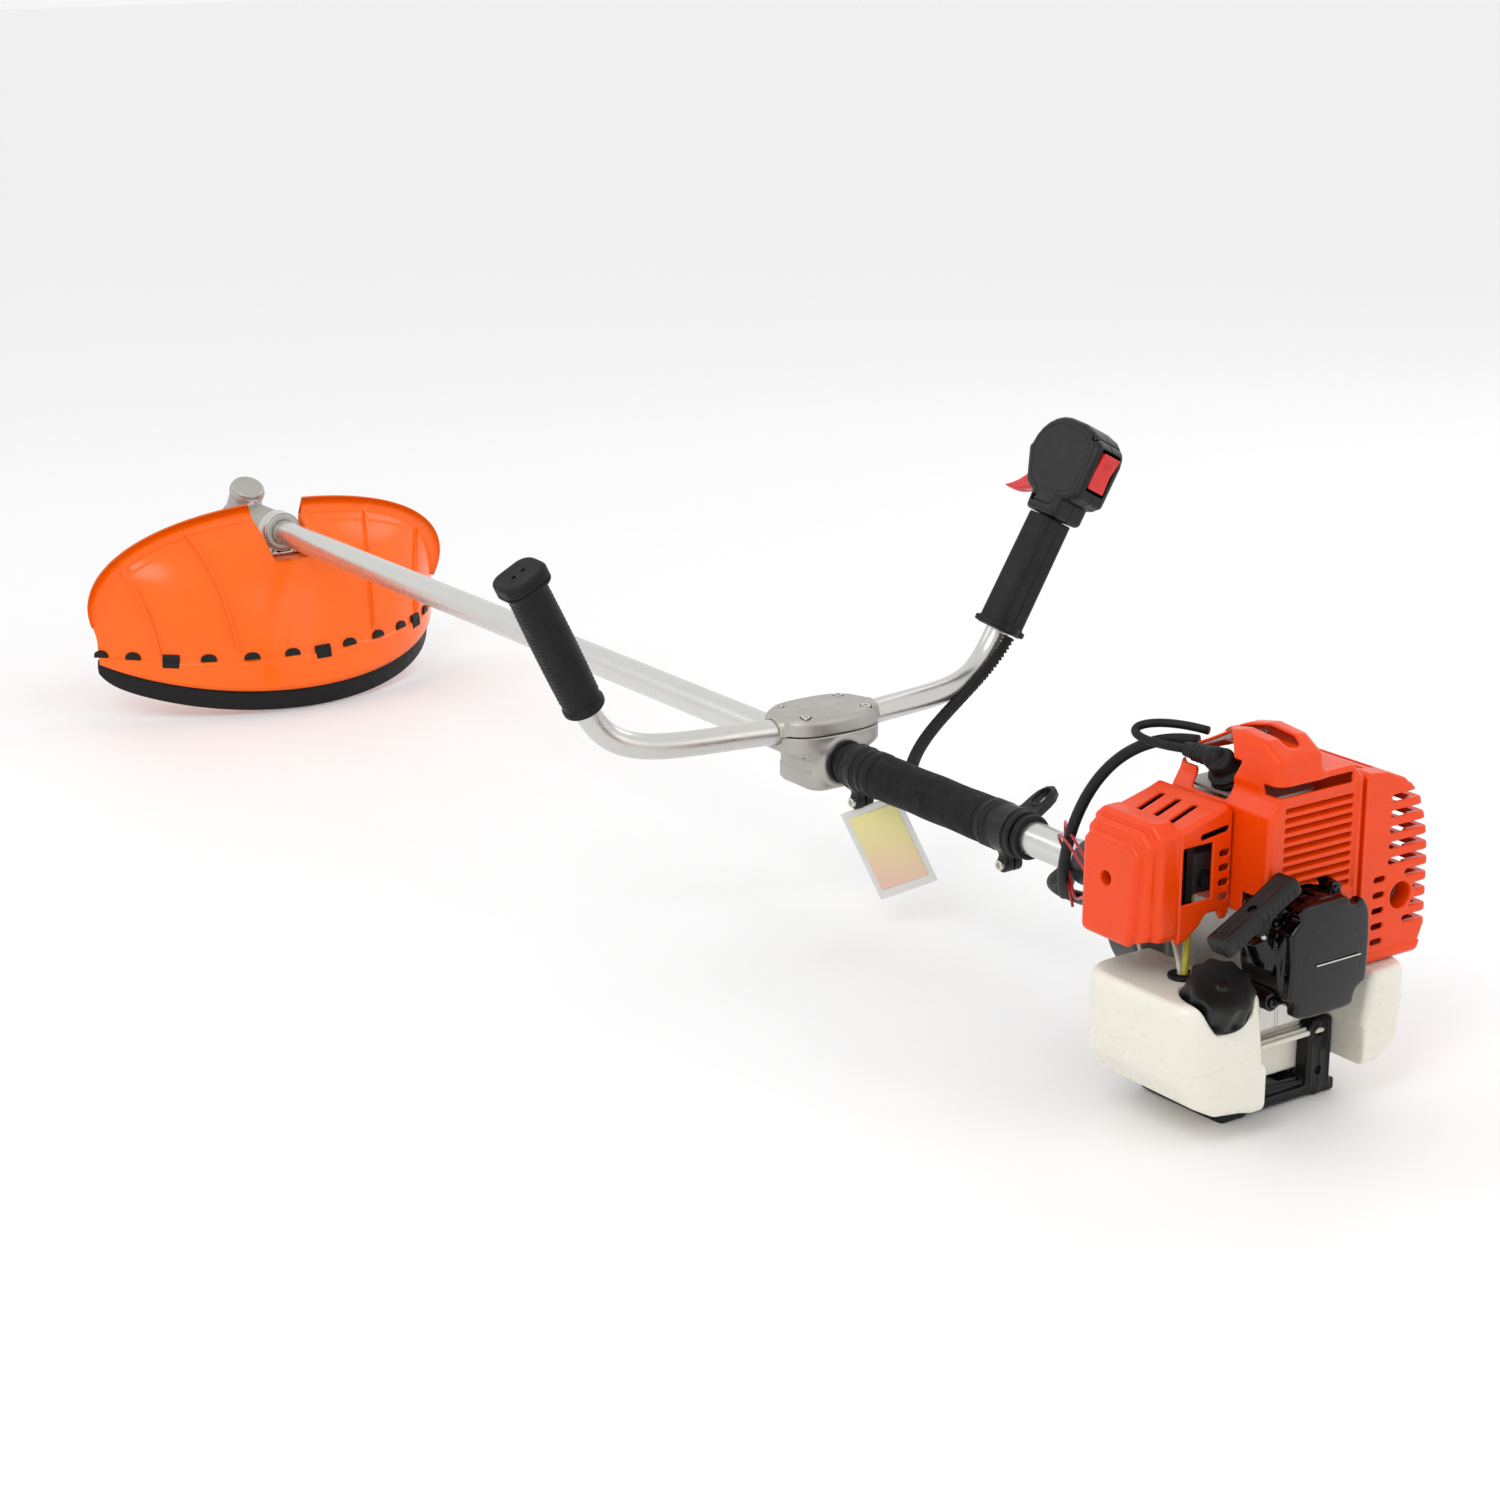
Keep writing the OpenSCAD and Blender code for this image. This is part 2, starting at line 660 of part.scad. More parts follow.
module harness_bracket() {
    color(black) {
        band(-256, -234);
        translate([0, 0, tube_z]) rotate([-eye_lean, 0, 0]) translate([0, 0, -tube_z]) difference() {
            y_prism(-2.5, 3.5, concat(
                [[-256, tube_z + 16], [-234, tube_z + 16], [-234, eye_z]],
                [for (i = [0:10]) [eye_x + 11 * cos(18 * i), eye_z + 4 + 11 * sin(18 * i)]],
                [[-256, eye_z]]));
            for (z = [-4, 4]) ycyl(-10, 10, 4.5, eye_x, eye_z + z);
            block([eye_x - 4.5, -10, eye_z - 4], [eye_x + 4.5, 10, eye_z + 4]);
        }
    }
}

module socket_screw(len, r = 2.5) {
    cylinder(h = len, r = r);
    translate([0, 0, -4]) difference() {
        cylinder(h = 4, r = 1.75 * r);
        translate([0, 0, -cut]) cylinder(h = 3, r = r, $fn = 6);
    }
}

module socket_screws() {
    {
        for (x = [-20, 20]) for (y = [-32, 32])
            translate([clamp_x + x, y, clamp_top]) rotate([180, 0, 0]) socket_screw(30, 2.4);
        for (x = [-442, -245])
            translate([x, -8, lug_z - 1]) rotate([-90, 0, 0]) socket_screw(15);
        for (x = [-7, 7])
            translate([lug_x + x, tube_r + 10, tube_z + 7]) rotate([180, 0, 0]) socket_screw(13);
        for (s = [-1, 1])
            translate([bracket_x, s * 18, bracket_z + 1]) rotate([180, 0, 0]) socket_screw(16);
        translate([-128, -7, tube_z - 26]) rotate([-90, 0, 0]) socket_screw(11);
    }
}

module pan_screw(len, r = 2) {
    cylinder(h = len, r = r);
    translate([0, 0, -2.4]) cylinder(h = 2.4, r1 = 1.4 * r, r2 = 2 * r);
}

starter_screws = [[-40, 102], [17, 174], [-40, 168]];

module pan_screws() {
    {
        for (p = starter_screws)
            translate([starter_face - 22, p[0], p[1]]) rotate([0, -90, 0]) pan_screw(24);
        translate([44, -14, handle_top - 6]) rotate([180, 0, 0]) pan_screw(9);
        translate([6, -112, 187]) rotate([-90, 0, 0]) pan_screw(26);
        on_grip(1) for (p = [[28, 190], [-12, 122]])
            translate([p[0], -head_half + 2, p[1]]) rotate([-90, 0, 0]) pan_screw(30, 1.4);
    }
}

module machine_screws() {
    color(silver) socket_screws();
    color(black) pan_screws();
}

// ---- engine -----------------------------------------------------------------------------

crank_r = 7.5;
cyl_x = 20;
bore_r = bore_d / 2;
front_bearing = -16;
rear_bearing = 42;
shroud_front = -60;
case_front = -24;
starter_face = 115;
cyl_base = tube_z + 38;
pin_z = tube_z + stroke / 2;
rod_len = 58;
wrist_z = pin_z + rod_len;

module fan_case() {
    color(grey_cast) difference() {
        union() {
            xcyl(-152, tube_rear, 19);
            block([-144, -7, tube_z - 33], [-112, 7, tube_z]);
            xcyl(tube_rear - 4, shroud_front, 46);
            xcyl(shroud_front, case_front, 66);
            for (a = [0:60:300]) rotate_about_crank(a)
                block([tube_rear - 30, -2, tube_z + 15], [tube_rear - 2, 2, tube_z + 34]);
        }
        xcyl(-153, tube_rear, tube_r + 0.02);
        block([-153, -1, tube_z - 40], [-100, 1, tube_z]);
        ycyl(-10, 10, 2.6, -128, tube_z - 26);
        xcyl(tube_rear - cut, tube_rear + 11, 17.5);
        xcyl(tube_rear + 10.5, shroud_front + 3, 41);
        xcyl(shroud_front + 2, case_front + cut, 62);
        block([shroud_front + 4, -26, tube_z + 40], [case_front + cut, 26, tube_z + 80]);
    }
}
module rotate_about_crank(a) {
    translate([0, 0, tube_z]) rotate([a, 0, 0]) translate([0, 0, -tube_z]) children();
}

module clutch_drum() {
    color(steel) difference() {
        union() {
            xcyl(-77, -74, 38);
            xring(-77, -61, 38, 36.5);
            xcyl(tube_rear + 0.5, -74, drum_hub_r);
        }
        xcyl(tube_rear - cut, -73, shaft_r);
    }
}

module clutch_shoes() {
    color(steel) for (s = [0, 180]) rotate_about_crank(s) difference() {
        xring(-72, -62, 35.6, 15);
        block([-80, -40, tube_z - 40], [-60, 40, tube_z + 3]);
        for (y = [-24, 24]) xcyl(-80, -60, 3, y, tube_z + 9);
        block([-80, -2, tube_z + 26], [-60, 2, tube_z + 40]);
    }
}

module flywheel() {
    color(grey_cast) difference() {
        union() {
            xcyl(-48, -30, 45);
            xcyl(-60, -30, 13);
            for (a = [0:20:340]) rotate_about_crank(a)
                block([-57, -1.2, tube_z + 20], [-47, 1.2, tube_z + 44]);
        }
        xcyl(-64, -20, crank_r);
        xring(-38, -20, 38, 17);
    }
}

module crankshaft() {
    color(steel) {
        xcyl(-60, 4, crank_r);
        xcyl(36, 66, crank_r);
        for (x = [4, 26]) difference() {
            xcyl(x, x + 10, 26);
            for (s = [-1, 1]) block([x - cut, s > 0 ? 15 : -40, tube_z],
                [x + 12, s > 0 ? 40 : -15, tube_z + 40]);
        }
    }
}

module connecting_rod() {
    color(steel) difference() {
        union() {
            xcyl(15.5, 24.5, 11, 0, pin_z);
            xcyl(15.5, 24.5, 9, 0, wrist_z);
            block([16.5, -4.5, pin_z], [23.5, 4.5, wrist_z]);
        }
        xcyl(0, 40, 5, 0, wrist_z);
    }
}

module piston() {
    color(silver) {
        difference() {
            zcyl(wrist_z - 16, wrist_z + 18, bore_r - 0.05, cyl_x);
            zcyl(wrist_z - 17, wrist_z + 13, bore_r - 3, cyl_x);
            xcyl(-10, 50, 5, 0, wrist_z);
        }
        xcyl(cyl_x - bore_r + 2, cyl_x + bore_r - 2, 4.98, 0, wrist_z);
    }
}

module crankcase() {
    color(grey_cast) difference() {
        union() {
            xcyl(case_front, case_front + 4, 66);
            x_prism(case_front + 2, 58, [[-38, 96], [-30, 88], [30, 88], [38, 96],
                [38, cyl_base], [-38, cyl_base]]);
            x_prism(10, 62, [[-44, 64], [44, 64], [34, 92], [-34, 92]]);
            xcyl(50, 66, 36);
        }
        xcyl(case_front - cut, 70, crank_r + 1);
        xcyl(front_bearing, front_bearing + 12, 16);
        xcyl(rear_bearing, rear_bearing + 12, 16);
        xcyl(2, 38, 29);
        xcyl(rear_bearing + 12, 70, 26);
        xcyl(case_front - cut, front_bearing, 12);
        zcyl(tube_z, cyl_base + cut, bore_r + 0.5, cyl_x);
        x_prism(8, 64, [[-34, 60], [34, 60], [26, 82], [-26, 82]]);
        for (a = [45:90:315]) rotate_about_crank(a) zslot();
    }
}
module zslot() {
    block([case_front - cut, -16, tube_z + 48], [case_front + 5, 16, tube_z + 60]);
}

head_z = wrist_z + 24;

module cylinder_fin(z) {
    z_prism(z, z + 2.2, [for (p = round_rect(72, 68, 14)) p + [cyl_x + 2, 0]]);
}

plug_foot = [cyl_x, -8, head_z + 4];
plug_tilt = 38;

module on_plug() {
    translate(plug_foot) rotate([plug_tilt, 0, 0]) children();
}

module cylinder_block() {
    zcyl(cyl_base + 3, head_z + 10, bore_r + 6, cyl_x);
    z_prism(cyl_base, cyl_base + 4, [for (p = round_rect(60, 60, 8)) p + [cyl_x, 0]]);
    for (i = [0:fins - 1]) cylinder_fin(cyl_base + 12 + i * 7.2);
    ycyl(0, 42, 14, cyl_x, cyl_base + 22);
    ycyl(-42, 0, 12, cyl_x, cyl_base + 20);
    on_plug() translate([0, 0, -6]) cylinder(h = 10, r = 13);
}

module cylinder_node() {
    color(grey_cast) difference() {
        cylinder_block();
        zcyl(cyl_base - cut, head_z - 2, bore_r, cyl_x);
        ycyl(10, 50, 9, cyl_x, cyl_base + 22);
        ycyl(-50, -10, 8, cyl_x, cyl_base + 20);
        on_plug() translate([0, 0, -14]) cylinder(h = 30, r = 7);
        on_plug() translate([0, 0, 4.5]) cylinder(h = 40, r = 15.5);
    }
}

module spark_plug() {
    color(silver) on_plug() {
        translate([0, 0, -6]) cylinder(h = 12, r = 6.9);
        translate([0, 0, 5]) cylinder(h = 8, r = 10, $fn = 6);
        translate([0, 0, 13]) cylinder(h = 18, r = 5);
    }
}

lead_path = [for (i = [0:12]) bezier3([-12, -34, 262], [-84, -52, 256], [-74, -30, 276],
    [-17, -8, 270], i / 12)];

module plug_boot() {
    color(black) {
        on_plug() difference() {
            union() {
                translate([0, 0, 14]) cylinder(h = 14, r = 14);
                translate([0, 0, 26]) cylinder(h = 14, r = 10);
            }
            cylinder(h = 34, r = 5.02);
        }
        rod([[cyl_x - 6, -32, 262], [-2, -34, 262], [-12, -34, 262]], 6.5, [0, 0, 1], 16);
        rod(lead_path, 3.2, [0.1, 0.2, 1], 10);
    }
}

module ignition_coil() {
    color(black) rotate_about_crank(115) {
        block([-46, -15, tube_z + 47], [-32, 15, tube_z + 59]);
        for (y = [-13, 8]) block([-44, y, tube_z + 45.6], [-34, y + 5, tube_z + 48]);
    }
}

carb_z = cyl_base + 20;

module carburettor() {
    color(silver) difference() {
        union() {
            block([2, -76, carb_z - 15], [38, -43, carb_z + 15]);
            zcyl(carb_z + 14, carb_z + 18, 5, cyl_x, -60);
            xcyl(36, 39, 5, -60, carb_z - 5);
        }
        ycyl(-80, -40, 6, cyl_x, carb_z);
        zcyl(carb_z - 11, carb_z + 11, 9, cyl_x, -60);
        zcyl(carb_z + 4, carb_z + 20, 2, cyl_x, -60);
    }
}

// A throttle barrel with a cross bore, and its stem and lever
module throttle_lever() {
    color(steel) {
        difference() {
            zcyl(carb_z - 10.9, carb_z + 10.9, 9 - run_gap, cyl_x, -60);
            ycyl(-80, -40, 6, cyl_x, carb_z);
        }
        zcyl(carb_z + 9, carb_z + 22, 2 - run_gap, cyl_x, -60);
        z_prism(carb_z + 18.2, carb_z + 20.2, [[cyl_x - 4, -64], [cyl_x + 4, -64],
            [cyl_x + 3, -46], [cyl_x - 3, -46]]);
    }
}

module primer_bulb() {
    color(red) difference() {
        union() {
            xcyl(40, 44, 7, -60, carb_z - 5);
            xcyl(44, 46.5, 5, -60, carb_z - 5);
        }
        xcyl(39, 42.5, 5.5, -60, carb_z - 5);
    }
}

module air_cleaner_base() {
    color(black) difference() {
        union() {
            block([-20, -84, 148], [46, -80, 222]);
            block([-12, -80, 160], [44, -76, 214]);
        }
        ycyl(-90, -70, 8, cyl_x, carb_z);
        ycyl(-90, -70, 2.4, 6, 187);
        ycyl(-90, -70, 1.5, 40, 208);
    }
}

module air_filter() {
    color([0.3, 0.3, 0.3]) difference() {
        block([-18, -98, 152], [34, -84, 216]);
        ycyl(-110, -80, 3, 6, 187);
    }
}

module choke_lever() {
    color(black) {
        ycyl(-90, -77, 1.45, 40, 208);
        y_prism(-90, -86, [[37, 210], [43, 210], [43, 190], [38, 190]]);
    }
}

cleaner_outline = [[-121, 146], [-121, 214], [-114, 224], [-60, 236], [-50, 239], [-43.5, 235],
    [-43.5, 166], [-50, 156], [-70, 156], [-86, 146]];

module air_cleaner_cover() {
    color(orange) difference() {
        union() {
            x_prism(-24, 50, cleaner_outline);
            y_prism(-124, -120, [[-20, 142], [38, 142], [44, 214], [34, 222], [-14, 222], [-20, 216]]);
        }
        x_prism(-24 + cover_wall, 50 - cover_wall, [[-118, 140], [-118, 212], [-112, 221],
            [-60, 233], [-50, 236], [-30, 236], [-30, 140]]);
        x_prism(-25, 50 - cover_wall, [[-80, 140], [-80, 228], [-60, 233], [-30, 236], [-30, 140]]);
        xcyl(-25, -18, 66.5);
        ycyl(-130, -110, 5, 6, 187);
        block([40, -92, 172], [60, -64, 214]);
        block([40, -58, 214], [60, -42, 219]);
        for (z = [170:11:203]) block([40, -54, z], [60, -44, z + 5]);
        for (x = [-4, 14, 32]) block([x, -92, 215], [x + 6, -62, 250]);
    }
}

cover_front = -18;
cover_back = 85;
handle_top = 290;
cover_outline = [[-43, 160], [-43, 246], [-32, 262], [40, 262], [49, 250], [49, 160]];
cover_hollow = [[-40, 150], [-40, 245], [-30, 259], [39, 259], [46, 249], [46, 150]];

module top_cover() {
    color(orange) difference() {
        union() {
            x_prism(cover_front, cover_back, cover_outline);
            y_prism(-34, 6, [[cover_front, 258], [-6, 278], [10, handle_top - 2],
                [46, handle_top], [70, handle_top - 4], [84, 276], [84, 258]]);
        }
        x_prism(cover_front + cover_wall, cover_back - cover_wall, cover_hollow);
        y_prism(-31, 3, [[-14, 250], [-4, 275], [12, handle_top - 5], [45, handle_top - 3],
            [68, handle_top - 7], [81, 275], [81, 250]]);
        block([22, -20, handle_top - 10], [66, -10, handle_top + 4]);
        for (i = [0:louvres - 1])
            block([cover_back - 4, -29, 172 + i * 7.2], [cover_back + cut, 40, 175.4 + i * 7.2]);
        block([cover_back - 4, -30, 249], [cover_back + cut, 34, 258]);
        xcyl(starter_front - cut, cover_back + cut, starter_r + 0.6, starter_y, starter_z);
        for (p = starter_screws) xcyl(starter_front - cut, cover_back + cut, 7.6, p[0], p[1]);
        xcyl(-30, cyl_x, 9, -36, 262);
        ycyl(-50, -30, 13, cyl_x, carb_z);
        ycyl(30, 60, 15, cyl_x, cyl_base + 22);
        block([cover_front - cut, -39, 159], [cover_front + 4, 39, cyl_base + 0.5]);
        translate([8, -30, 250]) rotate([plug_tilt, 0, 0]) cylinder(h = 60, r = 19, center = true);
        block([cover_front - cut, -28, 160], [cover_front + 4, 28, 262]);
        on_plug() cylinder(h = 60, r = 18);
    }
}

module muffler() {
    color(steel) difference() {
        union() {
            x_prism(-2, 60, [for (p = round_rect(44, 70, 12)) p + [80, 182]]);
            ycyl(42, 60, 13, cyl_x, cyl_base + 22);
            xcyl(58, 74, 6.5, 92, 153);
        }
        x_prism(0, 58, [for (p = round_rect(40, 66, 10)) p + [80, 182]]);
        ycyl(40, 62, 9, cyl_x, cyl_base + 22);
        xcyl(50, 80, 5, 92, 153);
    }
}

shield_outline = [[50, 106], [50, 254], [76, 250], [94, 242], [108, 228], [116, 206],
    [120, 180], [120, 120], [112, 106]];
shield_hollow = [[44, 100], [44, 251], [75, 247], [92, 239.5], [105, 226], [113, 205],
    [117, 180], [117, 121], [111, 109], [60, 109], [60, 100]];

module muffler_cover() {
    color(orange) difference() {
        x_prism(-12, cover_back, shield_outline);
        x_prism(-12 + cover_wall, cover_back - cover_wall, shield_hollow);
        for (i = [0:8]) {
            z = 118 + i * 12;
            if (i != 2 && i != 3) block([40, 86, z], [cover_back + cut, 130, z + 5.5]);
            block([70, 62, z], [cover_back + cut, 74, z + 5]);
        }
        for (i = [0:4]) block([-2 + i * 15, 66, 232], [5 + i * 15, 104, 260]);
        xcyl(cover_back - 6, cover_back + cut, 10, 92, 153);
        block([-13, 44, 104], [-9, 60, 260]);
    }
}

starter_y = -5;
starter_z = tube_z + 4;
starter_r = 44;
starter_front = 66;
pulley_r = 26;

module starter_housing() {
    color(black) {
        xcyl(72, starter_face - 3, 5);
        starter_shell();
    }
}
module starter_shell() {
    difference() {
        union() {
            xcyl(starter_front, starter_face - 12, starter_r, starter_y, starter_z);
            x_prism(starter_face - 13, starter_face, [for (p = round_rect(76, 84, 22))
                p + [starter_y, starter_z]]);
            for (p = starter_screws) xcyl(starter_front, starter_face - 22, 7, p[0], p[1]);
            translate([90, -52, 146]) rotate([28, 0, 0]) cylinder(h = 22, r = 9, center = true);
            block([76, -52, 132], [98, -40, 152]);
        }
        xcyl(65, starter_face - 4, 38, starter_y, starter_z);
        for (p = starter_screws) {
            xcyl(starter_front - cut, starter_face, 2.1, p[0], p[1]);
            xcyl(starter_face - 22, starter_face + cut, 4.4, p[0], p[1]);
        }
        translate([90, -52, 146]) rotate([28, 0, 0]) cylinder(h = 60, r = 3.2, center = true);
    }
}

module starter_pulley() {
    color([0.85, 0.84, 0.8]) difference() {
        union() {
            for (x = [78, 88]) xcyl(x, x + 3, pulley_r + 3);
            xcyl(78, 91, pulley_r - 3);
        }
        xcyl(70, 100, 5 + run_gap);
        for (a = [0:60:300]) rotate_about_crank(a) xcyl(70, 100, 5, 0, tube_z + 14);
    }
}

pull_tilt = 28;

// Children are drawn with +Z along the starter rope's pull, from the rope guide
module on_pull() {
    translate([98, -60, 161]) rotate([pull_tilt, 0, 0]) children();
}

module starter_handle() {
    color(black) on_pull() {
        translate([0, 0, 16]) rotate([90, 0, 0]) translate([0, 0, -38])
            linear_extrude(76) polygon(round_rect(22, 16, 5));
        translate([0, 0, 1]) cylinder(h = 10, r1 = 7, r2 = 10);
    }
}

tank_centre = [41, -6];
tank_plan = [for (p = round_rect(120, 236, 24)) p + tank_centre];
tank_top_right = 104.5;
tank_outline = concat([[-122, 116], [-122, 78]],
    [for (i = [1:6]) let (a = 180 + 14 * i) [-84 + 38 * cos(a), 74 + 38 * sin(a)]],
    [[-66, 36], [-58, 22], [44, 22], [52, 36]],
    [for (i = [0:6]) let (a = 276 + 14 * i) [74 + 38 * cos(a), 74 + 38 * sin(a)]],
    [[112, tank_top_right], [56, tank_top_right], [48, 58], [-48, 58], [-56, 116]]);
tank_hollow = concat([[-119, 113], [-119, 78]],
    [for (i = [1:6]) let (a = 180 + 14 * i) [-84 + 35 * cos(a), 74 + 35 * sin(a)]],
    [[-64, 39], [-56, 25], [42, 25], [50, 39]],
    [for (i = [0:6]) let (a = 276 + 14 * i) [74 + 35 * cos(a), 74 + 35 * sin(a)]],
    [[109, tank_top_right - 3], [59, tank_top_right - 3], [51, 55], [-51, 55], [-59, 113]]);
cap_pos = [84, -86, 112];

// Children are drawn with +Z out of the filler neck
module on_neck() {
    translate(cap_pos) rotate([12, 30, 0]) children();
}

module fuel_tank() {
    color(cream) difference() {
        union() {
            intersection() {
                x_prism(-19, 101, tank_outline);
                z_prism(0, 130, tank_plan);
            }
            on_neck() translate([0, 0, -16]) cylinder(h = 22, r = 19);
        }
        difference() {
            intersection() {
                x_prism(-16, 98, tank_hollow);
                z_prism(0, 130, [for (p = tank_plan) tank_centre + (p - tank_centre) * 0.95]);
            }
            on_neck() translate([0, 0, -12]) cylinder(h = 60, r = 28.5);
            block([50.5, -51.5, 0], [110, 53.5, 66]);
        }
        on_neck() translate([0, 0, -24]) cylinder(h = 40, r = 15.5);
        on_neck() difference() {
            translate([0, 0, -8.5]) cylinder(h = 50, r = 25.5);
            translate([0, 0, -20]) cylinder(h = 26, r = 19);
        }
        block([53.5, -48.5, 10], [110, 50.5, 63]);
        zcyl(100, 130, 6, 46, -84);
    }
}

module fuel_cap() {
    color(black) on_neck() {
        difference() {
            union() {
                translate([0, 0, -8]) cylinder(h = 22, r = 25);
                translate([0, 0, 14]) cylinder(h = 3, r1 = 25, r2 = 21);
            }
            translate([0, 0, -9]) cylinder(h = 20, r = 19.3);
            for (a = [0:30:330]) rotate(a) translate([27.6, 0, -10]) cylinder(h = 40, r = 4);
        }
    }
}

grommet = [46, -84, 116];
supply_path = [for (i = [0:8]) bezier3(grommet + [2.6, 0, -12], [48, -84, 136], [34, -68, 138],
    [34, -68, 171.5], i / 8)];
return_path = [for (i = [0:8]) bezier3(grommet + [-2, 0, -12], [46, -84, 136], [10, -68, 136],
    [10, -68, 171.5], i / 8)];

module fuel_lines() {
    color([0.68, 0.64, 0.2]) rod(supply_path, 2.6, [1, 0, 0.1], 10);
    color([0.85, 0.85, 0.8]) rod(return_path, 1.8, [1, 0, 0.1], 10);
    color(black) difference() {
        union() {
            zcyl(113, 116, 5.9, grommet[0], grommet[1]);
            zcyl(116, 119, 10, grommet[0], grommet[1]);
        }
        zcyl(100, 130, 5, grommet[0], grommet[1]);
    }
}

module stand() {
    color(black) {
        difference() {
            union() {
                block([-26, -56, 0], [66, -34, 12]);
                block([-26, 34, 0], [66, 56, 12]);
                block([-14, -40, 0], [14, 40, 8]);
                block([50, -40, 4], [66, 40, 12]);
                block([54, -46, 8], [66, -30, 62]);
                block([54, 26, 8], [66, 50, 62]);
                block([-26, -40, 8], [-25.1, 40, 60]);
            }
            for (y = [-45, 45]) zcyl(-cut, 8, 3, 50, y);
        }
    }
}

gear_case();
input_pinion();
output_gear();
spindle();
ball_bearings();
blade_flange();
trimmer_head();
line_spool();
drive_tube();
drive_shaft();
shaft_bushes();
guard_bracket();
guard();
guard_skirt();
line_knife();
clamp_base();
clamp_cap();
handlebar();
left_grip();
right_grip();
switch_housing_left();
switch_housing_right();
throttle_trigger();
stop_switch();
throttle_lock();
cable_conduit();
tube_rings();
foam_sleeve();
front_band();
harness_bracket();
machine_screws();
fan_case();
clutch_drum();
clutch_shoes();
flywheel();
crankcase();
crankshaft();
connecting_rod();
piston();
cylinder_node();  // cylinder
spark_plug();
plug_boot();
ignition_coil();
carburettor();
throttle_lever();
air_cleaner_base();
air_filter();
air_cleaner_cover();
choke_lever();
primer_bulb();
top_cover();
muffler();
muffler_cover();
starter_housing();
starter_pulley();
starter_handle();
fuel_tank();
fuel_cap();
fuel_lines();
stand();
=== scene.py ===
import math

import bpy
import numpy as np
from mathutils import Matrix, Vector


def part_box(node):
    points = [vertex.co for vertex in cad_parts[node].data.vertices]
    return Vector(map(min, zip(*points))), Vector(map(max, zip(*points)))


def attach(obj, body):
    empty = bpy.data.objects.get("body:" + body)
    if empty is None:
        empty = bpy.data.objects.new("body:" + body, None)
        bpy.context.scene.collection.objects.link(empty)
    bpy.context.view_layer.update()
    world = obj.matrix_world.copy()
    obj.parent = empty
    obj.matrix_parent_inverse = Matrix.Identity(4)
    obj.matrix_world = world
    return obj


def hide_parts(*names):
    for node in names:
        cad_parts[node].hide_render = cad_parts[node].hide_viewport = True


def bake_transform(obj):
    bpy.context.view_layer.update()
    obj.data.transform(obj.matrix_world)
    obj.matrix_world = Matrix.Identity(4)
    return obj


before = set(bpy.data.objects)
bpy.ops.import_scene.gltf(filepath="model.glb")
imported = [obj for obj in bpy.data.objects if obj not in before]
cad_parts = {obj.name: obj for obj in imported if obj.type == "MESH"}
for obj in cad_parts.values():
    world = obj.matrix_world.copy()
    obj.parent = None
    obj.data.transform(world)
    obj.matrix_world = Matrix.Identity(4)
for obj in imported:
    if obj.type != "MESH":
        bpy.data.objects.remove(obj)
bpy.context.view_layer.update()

# Looks of the petrol brush cutter. Shapes are worked out in millimetres in the row frame:
# +X back along the tube, -Y the machine's left, +Z up. Meshes are made in metres.

MM = 0.001
COARSE = 1.0


def vec(*values):
    return np.array(values, float)


def box_mm(node):
    lo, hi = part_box(node)
    return np.array(lo) / MM, np.array(hi) / MM


def mix(a, b, t):
    return a + (b - a) * t


# ---- places -------------------------------------------------------------------------------

def turn(axis, degrees):
    """Rotation matrix about one axis."""
    a = math.radians(degrees)
    c, s = math.cos(a), math.sin(a)
    rows = {
        "x": [[1, 0, 0], [0, c, -s], [0, s, c]],
        "y": [[c, 0, s], [0, 1, 0], [-s, 0, c]],
        "z": [[c, -s, 0], [s, c, 0], [0, 0, 1]],
    }
    return np.array(rows[axis], float)


class Place:
    """A local frame: an origin and turns, the outermost turn first."""

    def __init__(self, origin=(0, 0, 0), *turns):
        self.origin = np.array(origin, float)
        self.axes = np.eye(3)
        for axis, degrees in turns:
            self.axes = self.axes @ turn(axis, degrees)

    @classmethod
    def along(cls, origin, x, z):
        """A place with its Z along z, and its X as near to x as it can be."""
        place = cls(origin)
        z = np.array(z, float) / np.linalg.norm(z)
        x = np.array(x, float) - (np.array(x, float) @ z) * z
        x /= np.linalg.norm(x)
        place.axes = np.stack([x, np.cross(z, x), z], 1)
        return place

    def local(self, p):
        return (p - self.origin) @ self.axes

    def world(self, q):
        return np.asarray(q, float) @ self.axes.T + self.origin


tube_lo, tube_hi = box_mm("drive_tube")
TUBE_R = (tube_hi[2] - tube_lo[2]) / 2
TUBE_Z = (tube_hi[2] + tube_lo[2]) / 2
BORE_R = TUBE_R + 0.05
TUBE_REAR = tube_hi[0]
TUBE_FRONT = tube_lo[0]
APEX_X = TUBE_FRONT - 50
SPINDLE_TILT = 30
GRIP_TILT = 28
GRIP_LEAN = 4
GRIP_FOOT = vec(-531, 221, 200)

ROW = Place()
SPINDLE = Place((APEX_X, 0, TUBE_Z), ("y", SPINDLE_TILT))
PLUG = Place((20, -8, 232), ("x", 38))
PULL = Place((98, -60, 161), ("x", 28))
NECK = Place((84, -86, 112), ("y", 30), ("x", 12))


def grip_place(side):
    foot = GRIP_FOOT * vec(1, side, 1)
    return Place(foot, ("x", -side * GRIP_TILT), ("y", GRIP_LEAN))


# ---- distance shapes ----------------------------------------------------------------------
# Each takes points as rows of x, y, z and gives their distance to a solid, negative inside.

def box(p, lo, hi, r=1.0):
    lo, hi = np.array(lo, float), np.array(hi, float)
    q = np.abs(p - (lo + hi) / 2) - ((hi - lo) / 2 - r)
    outside = np.sqrt((np.maximum(q, 0) ** 2).sum(1))
    return outside + np.minimum(q.max(1), 0) - r


